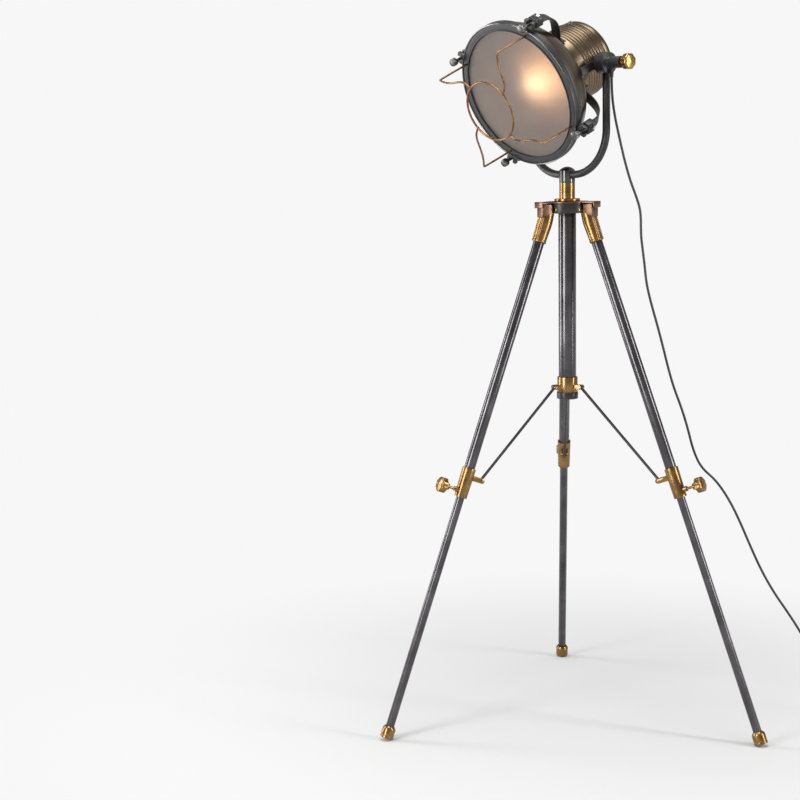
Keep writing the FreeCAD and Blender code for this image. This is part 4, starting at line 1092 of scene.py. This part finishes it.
    def build_rim(self) -> None:
        """Make the rim ring, its lip in a lighter grey metal that paints a highlight on the chamfer, and the
        slotted lugs of the clamps.
        """
        rim, back, mouth = self.rim, self.rim_back, self.opening
        ring = [(rim - 5.5, back), (rim - 1.2, back), (rim, back + 1.2), (rim, 155), (rim - 0.9, 155.6),
                (rim - 0.9, 157.2), (rim, 157.8), (rim, 161.4), (rim - 0.5, 162.6), (rim - 3.4, 163.2),
                (mouth + 6, 163.4), (mouth + 2, 163), (mouth, 163.2), (mouth, 162.6), (rim - 5.5, 162.6)]
        self.turned_piece("rim_body", ring, 0.25, self.black, "satin_black", "rim_ring")
        lip = [(rim - 3.2, 163.2), (rim - 0.4, 162.7), (rim, 164), (rim - 0.5, 165.2), (rim - 1.8, 165.6),
               (rim - 3, 164.8)]
        # The lip wears the lighter metal, a painted highlight.
        self.turned_piece("rim_lip", lip, 0.2, self.lip_painted_highlight, "satin_black")
        bead = [(mouth, 163), (mouth + 2.6, 163), (mouth + 2.8, 164.2), (mouth + 1.8, 165.2),
                (mouth + 0.6, 165.2), (mouth, 164.2)]
        self.turned_piece("rim_bead", bead, 0.2, self.black, "satin_black")
        lug = Bench.box("clamp_lug", (22.3, 26, 9), (177.85, 0, 154.5))
        Bench.carve(lug, Bench.box("lug_slot", (17.6, 8, 20), (189, 0, 154.5)))
        Bench.bevel(lug, 1.1, 3)
        lugs = Bench.smooth(Bench.spread(lug, "clamp_lugs", [turned(turn) for turn in CLAMP_TURNS]), 35.0)
        dress(Bench.settle(lugs, HEAD_FRAME), self.black, "head", "satin_black")

    def build_straps(self) -> None:
        """Bend the four flat straps that run from the housing over the bell to the end blocks."""
        radius, seat = self.clamp_radius - 1.6, self.housing + 4.2
        route = [(radius + out, up) for out, up in (
            (0, 139), (0, 128), (1, 116), (-3, 100), (-13, 84), (-30, 70), (-50, 61), (-72, 55.5), (-84, 51))]
        strap = Bench.band("clamp_band", [*route, (seat, 42), (seat, 34)], self.strap_width,
                           self.strap_thickness)
        straps = Bench.spread(strap, "clamp_bands", [turned(turn) for turn in CLAMP_TURNS])
        dress(Bench.settle(straps, HEAD_FRAME), self.black, "head", "satin_black", "clamp_straps")

    def guard_arm(self, turn: float) -> Piece:
        """Bend one arm of the guard.

        Args:
            turn: The arm's turn about the head's axis, in degrees.

        Returns:
            The arm as a mesh, in the head's frame.
        """
        foot, front = self.guard_foot, self.guard_front
        rise = [(foot, 0, 163), (foot, 0, 180), (foot, 0, 210), (foot - 0.5, 0, 236),
                (foot - 0.8, 0, front - 1.5)]
        wave = [(foot - back, -side, front) for back, side in (
            (4, 0.4), (16, 2.5), (30, 7.5), (44, 16), (56, 25), (68, 31), (80, 32), (90, 29.5))]
        arm = Bench.spline("guard_arm", metres([*rise, *wave]), self.wire * MM, steps=6)
        return Bench.settle(Bench.solid_wire(arm), turned(turn))

    def build_guard(self) -> None:
        """Make the four wavy guard arms, the centre ring and the welds between them."""
        ring, level, lag = self.guard_ring * MM, self.guard_front * MM, 25.3
        Bench.clear()
        bpy.ops.mesh.primitive_torus_add(major_radius=ring, minor_radius=(self.wire + 0.2) * MM,
                                         major_segments=128, minor_segments=14,
                                         location=(0.0, 0.0, level))
        pieces = [bpy.context.active_object]
        Bench.rest()
        for turn in CLAMP_TURNS:
            pieces.append(self.guard_arm(turn))
            angle = math.radians(turn - lag)
            Bench.clear()
            bpy.ops.mesh.primitive_uv_sphere_add(
                segments=20, ring_count=12, radius=3.3 * MM,
                location=(ring * math.cos(angle), ring * math.sin(angle), level))
            pieces.append(bpy.context.active_object)
            Bench.rest()
        guard = Bench.smooth(Bench.join("wire_guard", pieces), 45.0)
        dress(Bench.settle(guard, HEAD_FRAME), self.wire_metal, "head", "copper_wire", "guard_wires")

    def build_clamp_screws(self) -> None:
        """Make the four clamp screws with their knurled heads."""
        profile = [(0, 131), (2.4, 131), (3, 131.8), (3, 171), (5.6, 171), (5.6, 174), (8.2, 174), (9, 174.8),
                   (9, 179.5), (9, 184), (8.2, 185.2), (5.4, 185.8), (5, 185.2), (0, 185.6)]
        master = Bench.lathe("knurled_screw", profile, 72, closed=False)
        Bench.squeeze(master, lambda corner: corner.xy.length > 8.5 * MM and round(
            math.degrees(math.atan2(corner.y, corner.x)) / 5.0) % 3 == 0, (self.knurl, self.knurl, 1.0))
        finish = Metal("clamp_gunmetal", Tone.GUNMETAL, 0.28, Lay.CAST, HEAD_FRAME, uneven=0.09,
                       patch_scale=120.0, mark_scale=600.0).paint()
        for index, turn in enumerate(CLAMP_TURNS, start=1):
            name = f"clamp_screw_{index}"
            place = HEAD_FRAME @ turned(turn) @ moved(self.clamp_radius, 0.0, 0.0)
            screw = Bench.smooth(Bench.twin(master, f"knurled_screw_{index}", place), 38.0)
            dress(screw, finish, name, "black_screw", name)
        bpy.data.objects.remove(master, do_unlink=True)

    def build_inside(self) -> None:
        """Dress the glass, the bulb and what shows behind them."""
        coat(FrostedGlass("frosted_front", (0.290, 0.272, 0.268), 0.60).paint(), "front_glass")
        coat(Glow("lit_bulb", (1.0, 0.42, 0.12), (1.0, 0.64, 0.34), 22.0).paint(), "bulb_glass")
        coat(Metal("spun_aluminium", Tone.ALUMINIUM, 0.34, Lay.TURNED, HEAD_FRAME).paint(),
             "reflector", "bulb_cap")
        coat(Enamel("holder_ceramic", (0.72, 0.70, 0.64), (0.60, 0.56, 0.50), 0.55).paint(), "lamp_holder")
        coat(Rubber("gasket_rubber", (0.015, 0.015, 0.015), (0.03, 0.03, 0.03), 0.6).paint(), "glass_gasket")


# ------------------------------------------------------------------------------ yoke and tilt knobs

@dataclass
class Yoke:
    """The U-shaped yoke on its swivel cap, with bosses and tilt knobs (millimetres)."""

    boss: float = 23.5
    boss_inner: float = 104.0
    boss_outer: float = 132.0
    neck: float = 13.0
    neck_end: float = 168.0
    bore: float = 12.1
    knob_gap: float = 2.0

    def build(self) -> None:
        """Make and dress the yoke's pieces."""
        enamel = Enamel("yoke_enamel", (0.026, 0.025, 0.026), (0.050, 0.048, 0.047), 0.33).paint()
        polished = Metal("cap_nickel", Tone.DARK_NICKEL, 0.16, Lay.TURNED).paint()
        refined("yoke_tube", "yoke_hoop", 0.0, enamel, "yoke", "satin_black")
        refined("swivel_cap", "domed_cap", 0.5, polished, "yoke", "gunmetal")
        self.build_bosses(enamel)
        for name, side in (("right", 1.0), ("left", -1.0)):
            local = (Matrix.Translation(PIVOT) @ turned(90.0 * side, "Y")
                     @ moved(0.0, 0.0, self.neck_end + self.knob_gap))
            Knob(f"tilt_knob_{name}", local, Tone.BRIGHT, bore=self.bore).build()

    def build_bosses(self, material: Material) -> None:
        """Turn both bosses with their rounded shoulders and necks."""
        hole, out, shoulder = self.bore / 2, self.boss_outer, self.neck + 1.5
        profile = [(hole, self.boss_inner), (self.boss, self.boss_inner), (self.boss, out),
                   (shoulder, out), (shoulder, out + 3), (self.neck, out + 4),
                   (self.neck, self.neck_end), (hole, self.neck_end)]
        boss = Bench.bevel(Bench.lathe("yoke_boss", profile, 96), 1.2, 3)
        places = [Matrix.Translation(PIVOT) @ turned(90.0 * side, "Y") for side in (1.0, -1.0)]
        pair = Bench.smooth(Bench.spread(boss, "yoke_boss_pair", places), 35.0)
        dress(pair, material, "yoke", "satin_black", "yoke_bosses")


# ------------------------------------------------------------------------------ stand

def drawn_nickel(name: str, local: Matrix) -> Material:
    """Make the finish of a drawn tube that lies along its frame's Z axis."""
    return Metal(name, Tone.NICKEL, 0.23, Lay.DRAWN, local, uneven=0.05, mark_depth=0.0000015,
                 patch_scale=18.0).paint()


@dataclass
class Leg:
    """One telescoping leg: elbow, tubes, sleeve, foot and clamp knob."""

    name: str
    foot_start: float = 1249.4
    knob_place: float = 666.0
    knob_standoff: float = 38.0
    knob_tip: float = 10.0
    socket: float = 15.2
    rib: float = 2.6

    def build(self) -> None:
        """Make and dress the leg's pieces."""
        name, local = self.name, leg_tube_frame(self.name)
        leg = f"leg_{name}"
        tube = drawn_nickel(f"leg_nickel_{name}", local)
        cast = Metal(f"elbow_brass_{name}", Tone.AGED, 0.28, Lay.CAST, local, uneven=0.09,
                     patch_scale=55.0, mark_scale=500.0).paint()
        turned_brass = Metal(f"sleeve_brass_{name}", Tone.AGED, 0.26, Lay.TURNED, local, uneven=0.08,
                             patch_scale=50.0, mark_scale=500.0).paint()
        for part, body in (("upper_tube", leg), ("lower_tube", f"lower_{name}")):
            refined(f"{part}_{name}", f"{part}_polished_{name}", 0.3, tube, body, "gunmetal")
        copper = Metal(f"cheek_copper_{name}", Tone.COPPERY, 0.32, Lay.CAST, local, uneven=0.08,
                       patch_scale=40.0).paint()
        self.build_elbow(cast, copper)
        refined(f"sleeve_{name}", f"clamp_sleeve_{name}", 0.5, turned_brass, leg, "aged_brass")
        strut = Enamel(f"strut_black_{name}", (0.022, 0.022, 0.023), (0.06, 0.058, 0.056), 0.30).paint()
        refined(f"strut_{name}", f"spreader_rod_{name}", 0.4, strut, f"strut_{name}", "satin_black")
        self.build_foot(local, turned_brass)
        knob_place = local @ moved(-self.knob_standoff, 0.0, self.knob_place) @ turned(-90.0, "Y")
        Knob(f"leg_knob_{name}", knob_place, Tone.AGED, stem=self.knob_standoff - self.knob_tip).build()

    def build_elbow(self, material: Material, copper: Material) -> None:
        """Cast the elbow: a bent socket with two raised ribs and a lip, under a block.

        Args:
            material: The casting's finish.
            copper: The block's finish.
        """
        upright = turned(LEG_TURNS[self.name])
        down_leg = upright.inverted() @ leg_tube_frame(self.name)
        along = Vector((math.sin(LEG_ANGLE), 0.0, -math.cos(LEG_ANGLE)))
        outward = Vector((math.cos(LEG_ANGLE), 0.0, math.sin(LEG_ANGLE)))
        knee = Vector((KNEE_RADIUS, 0.0, KNEE_Z))

        def spot(down: float, out: float = 0.0, side: float = 0.0) -> Point:
            """Give a point by its place down the leg, outside the tube's axis and beside it."""
            return tuple(knee + along * (down * MM) + outward * (out * MM) + Vector((0.0, side * MM, 0.0)))

        route = [(0.0385, 0.0, KNEE_Z + 0.0005), (0.046, 0.0, KNEE_Z),
                 *(spot(down) for down in (13.0, 30.0, 52.0, 70.0, 77.5))]
        socket = Bench.spline("socket", route, self.socket * MM, steps=7, sides=7)
        for control, share in zip(socket.data.splines[0].points, (0.70, 0.82, 1.0, 1.12, 1.05, 1.0, 0.99)):
            control.radius = share
        socket = Bench.solid_wire(socket)
        bore = Bench.lathe("bore", ((0, 28.5), (12.4, 28.5), (12.4, 90), (0, 90)), 64)
        pieces = [Bench.carve(socket, Bench.settle(bore, down_leg))]
        for side in (-1.0, 1.0):
            route = [(0.047, side * 0.0085, KNEE_Z + 0.007), *(
                spot(down, out, side * aside) for down, out, aside in (
                    (4.0, 13.5, 7.5), (20.0, 14.0, 8.0), (45.0, 12.2, 8.6), (76.0, 11.6, 8.9)))]
            pieces.append(Bench.solid_wire(Bench.spline("rib", route, self.rib * MM, steps=6, sides=4)))
        lip = Bench.lathe("lip", ((12.6, 71.5), (15, 71.5), (15.7, 72.4), (15.7, 76.6), (15, 77.7),
                                  (12.6, 77.7)), 64)
        pieces.append(Bench.settle(lip, down_leg))
        cheek = Bench.box(f"elbow_cheek_{self.name}", (24.5, 29.6, 24), (58.6, 0, KNEE_Z / MM + 0.9))
        Bench.squeeze(cheek, lambda corner: corner.z < KNEE_Z - 0.010 and corner.x > 0.06,
                      (1.0, 0.82, 1.0), (0.0015, 0.0, -0.006))
        Bench.smooth(Bench.bevel(cheek, 2.2, 3), 40.0)
        dress(Bench.settle(cheek, upright), copper, f"leg_{self.name}", "aged_brass")
        elbow = Bench.smooth(Bench.join(f"elbow_casting_{self.name}", pieces), 40.0)
        dress(Bench.settle(elbow, upright), material, f"leg_{self.name}", "aged_brass", f"elbow_{self.name}")

    def build_foot(self, local: Matrix, material: Material) -> None:
        """Turn the foot's cap with its bevelled shoulder and worn base groove."""
        profile = [(0, 0), (13.4, 0), (14.4, 0.35), (15, 1.1), (15, 5), (14.6, 5.5), (14.6, 6.2), (15, 6.7),
                   (15, 21.5), (14.8, 22.3), (12.2, 26.6), (11.6, 27.2), (11.2, 28), (9.5, 28), (9.5, 6),
                   (0, 6)]
        foot = Bench.bevel(Bench.lathe(f"foot_cap_{self.name}", profile, 72), 0.25)
        Bench.smooth(foot, 35.0)
        Bench.settle(foot, local @ moved(0.0, 0.0, self.foot_start) @ turned(180.0, "Y"))
        dress(foot, material, f"lower_{self.name}", "aged_brass", f"foot_{self.name}")


class Stand:
    """Hub, stem, column and spreader collar."""

    def build(self) -> None:
        """Dress the stand's pieces and build its legs."""
        enamel = Enamel("hub_enamel", (0.020, 0.019, 0.018), (0.050, 0.046, 0.042), 0.30).paint()
        nickel = drawn_nickel("column_nickel", HERE)
        refined("column_tube", "column_polished", 0.3, nickel, "stand", "gunmetal")
        refined("hub_casting", "hub_cast", 0.8, enamel, "stand", "satin_black")
        refined("column_end_ring", "column_foot_ring", 0.8, enamel, "stand", "satin_black")
        brass = Metal("collar_brass", Tone.AGED, 0.25, Lay.TURNED, uneven=0.08, patch_scale=40.0).paint()
        refined("spreader_collar", "sliding_collar", 0.6, brass, "collar", "aged_brass")
        refined("stem_tube", "stem_turned", 0.5, brass, "stand", "aged_brass")
        coat(brass, "hinge_pins")
        plate = Metal("plate_copper", Tone.COPPERY, 0.30, uneven=0.08, patch_scale=40.0).paint()
        refined("hub_top_plate", "bracket_plate", 0.7, plate, "stand", "aged_brass")
        coat(Metal("pin_steel", Tone.DULL_STEEL, 0.3).paint(), "collar_pins")
        for name in LEG_TURNS:
            Leg(name).build()


def main() -> None:
    """Build the scene."""
    logging.basicConfig(level=logging.INFO, format="%(name)s: %(message)s")
    studio = Studio()
    studio.place_camera()
    Cord().build()
    studio.build()
    Head().build()
    Yoke().build()
    Stand().build()


if __name__ == "__main__":
    main()
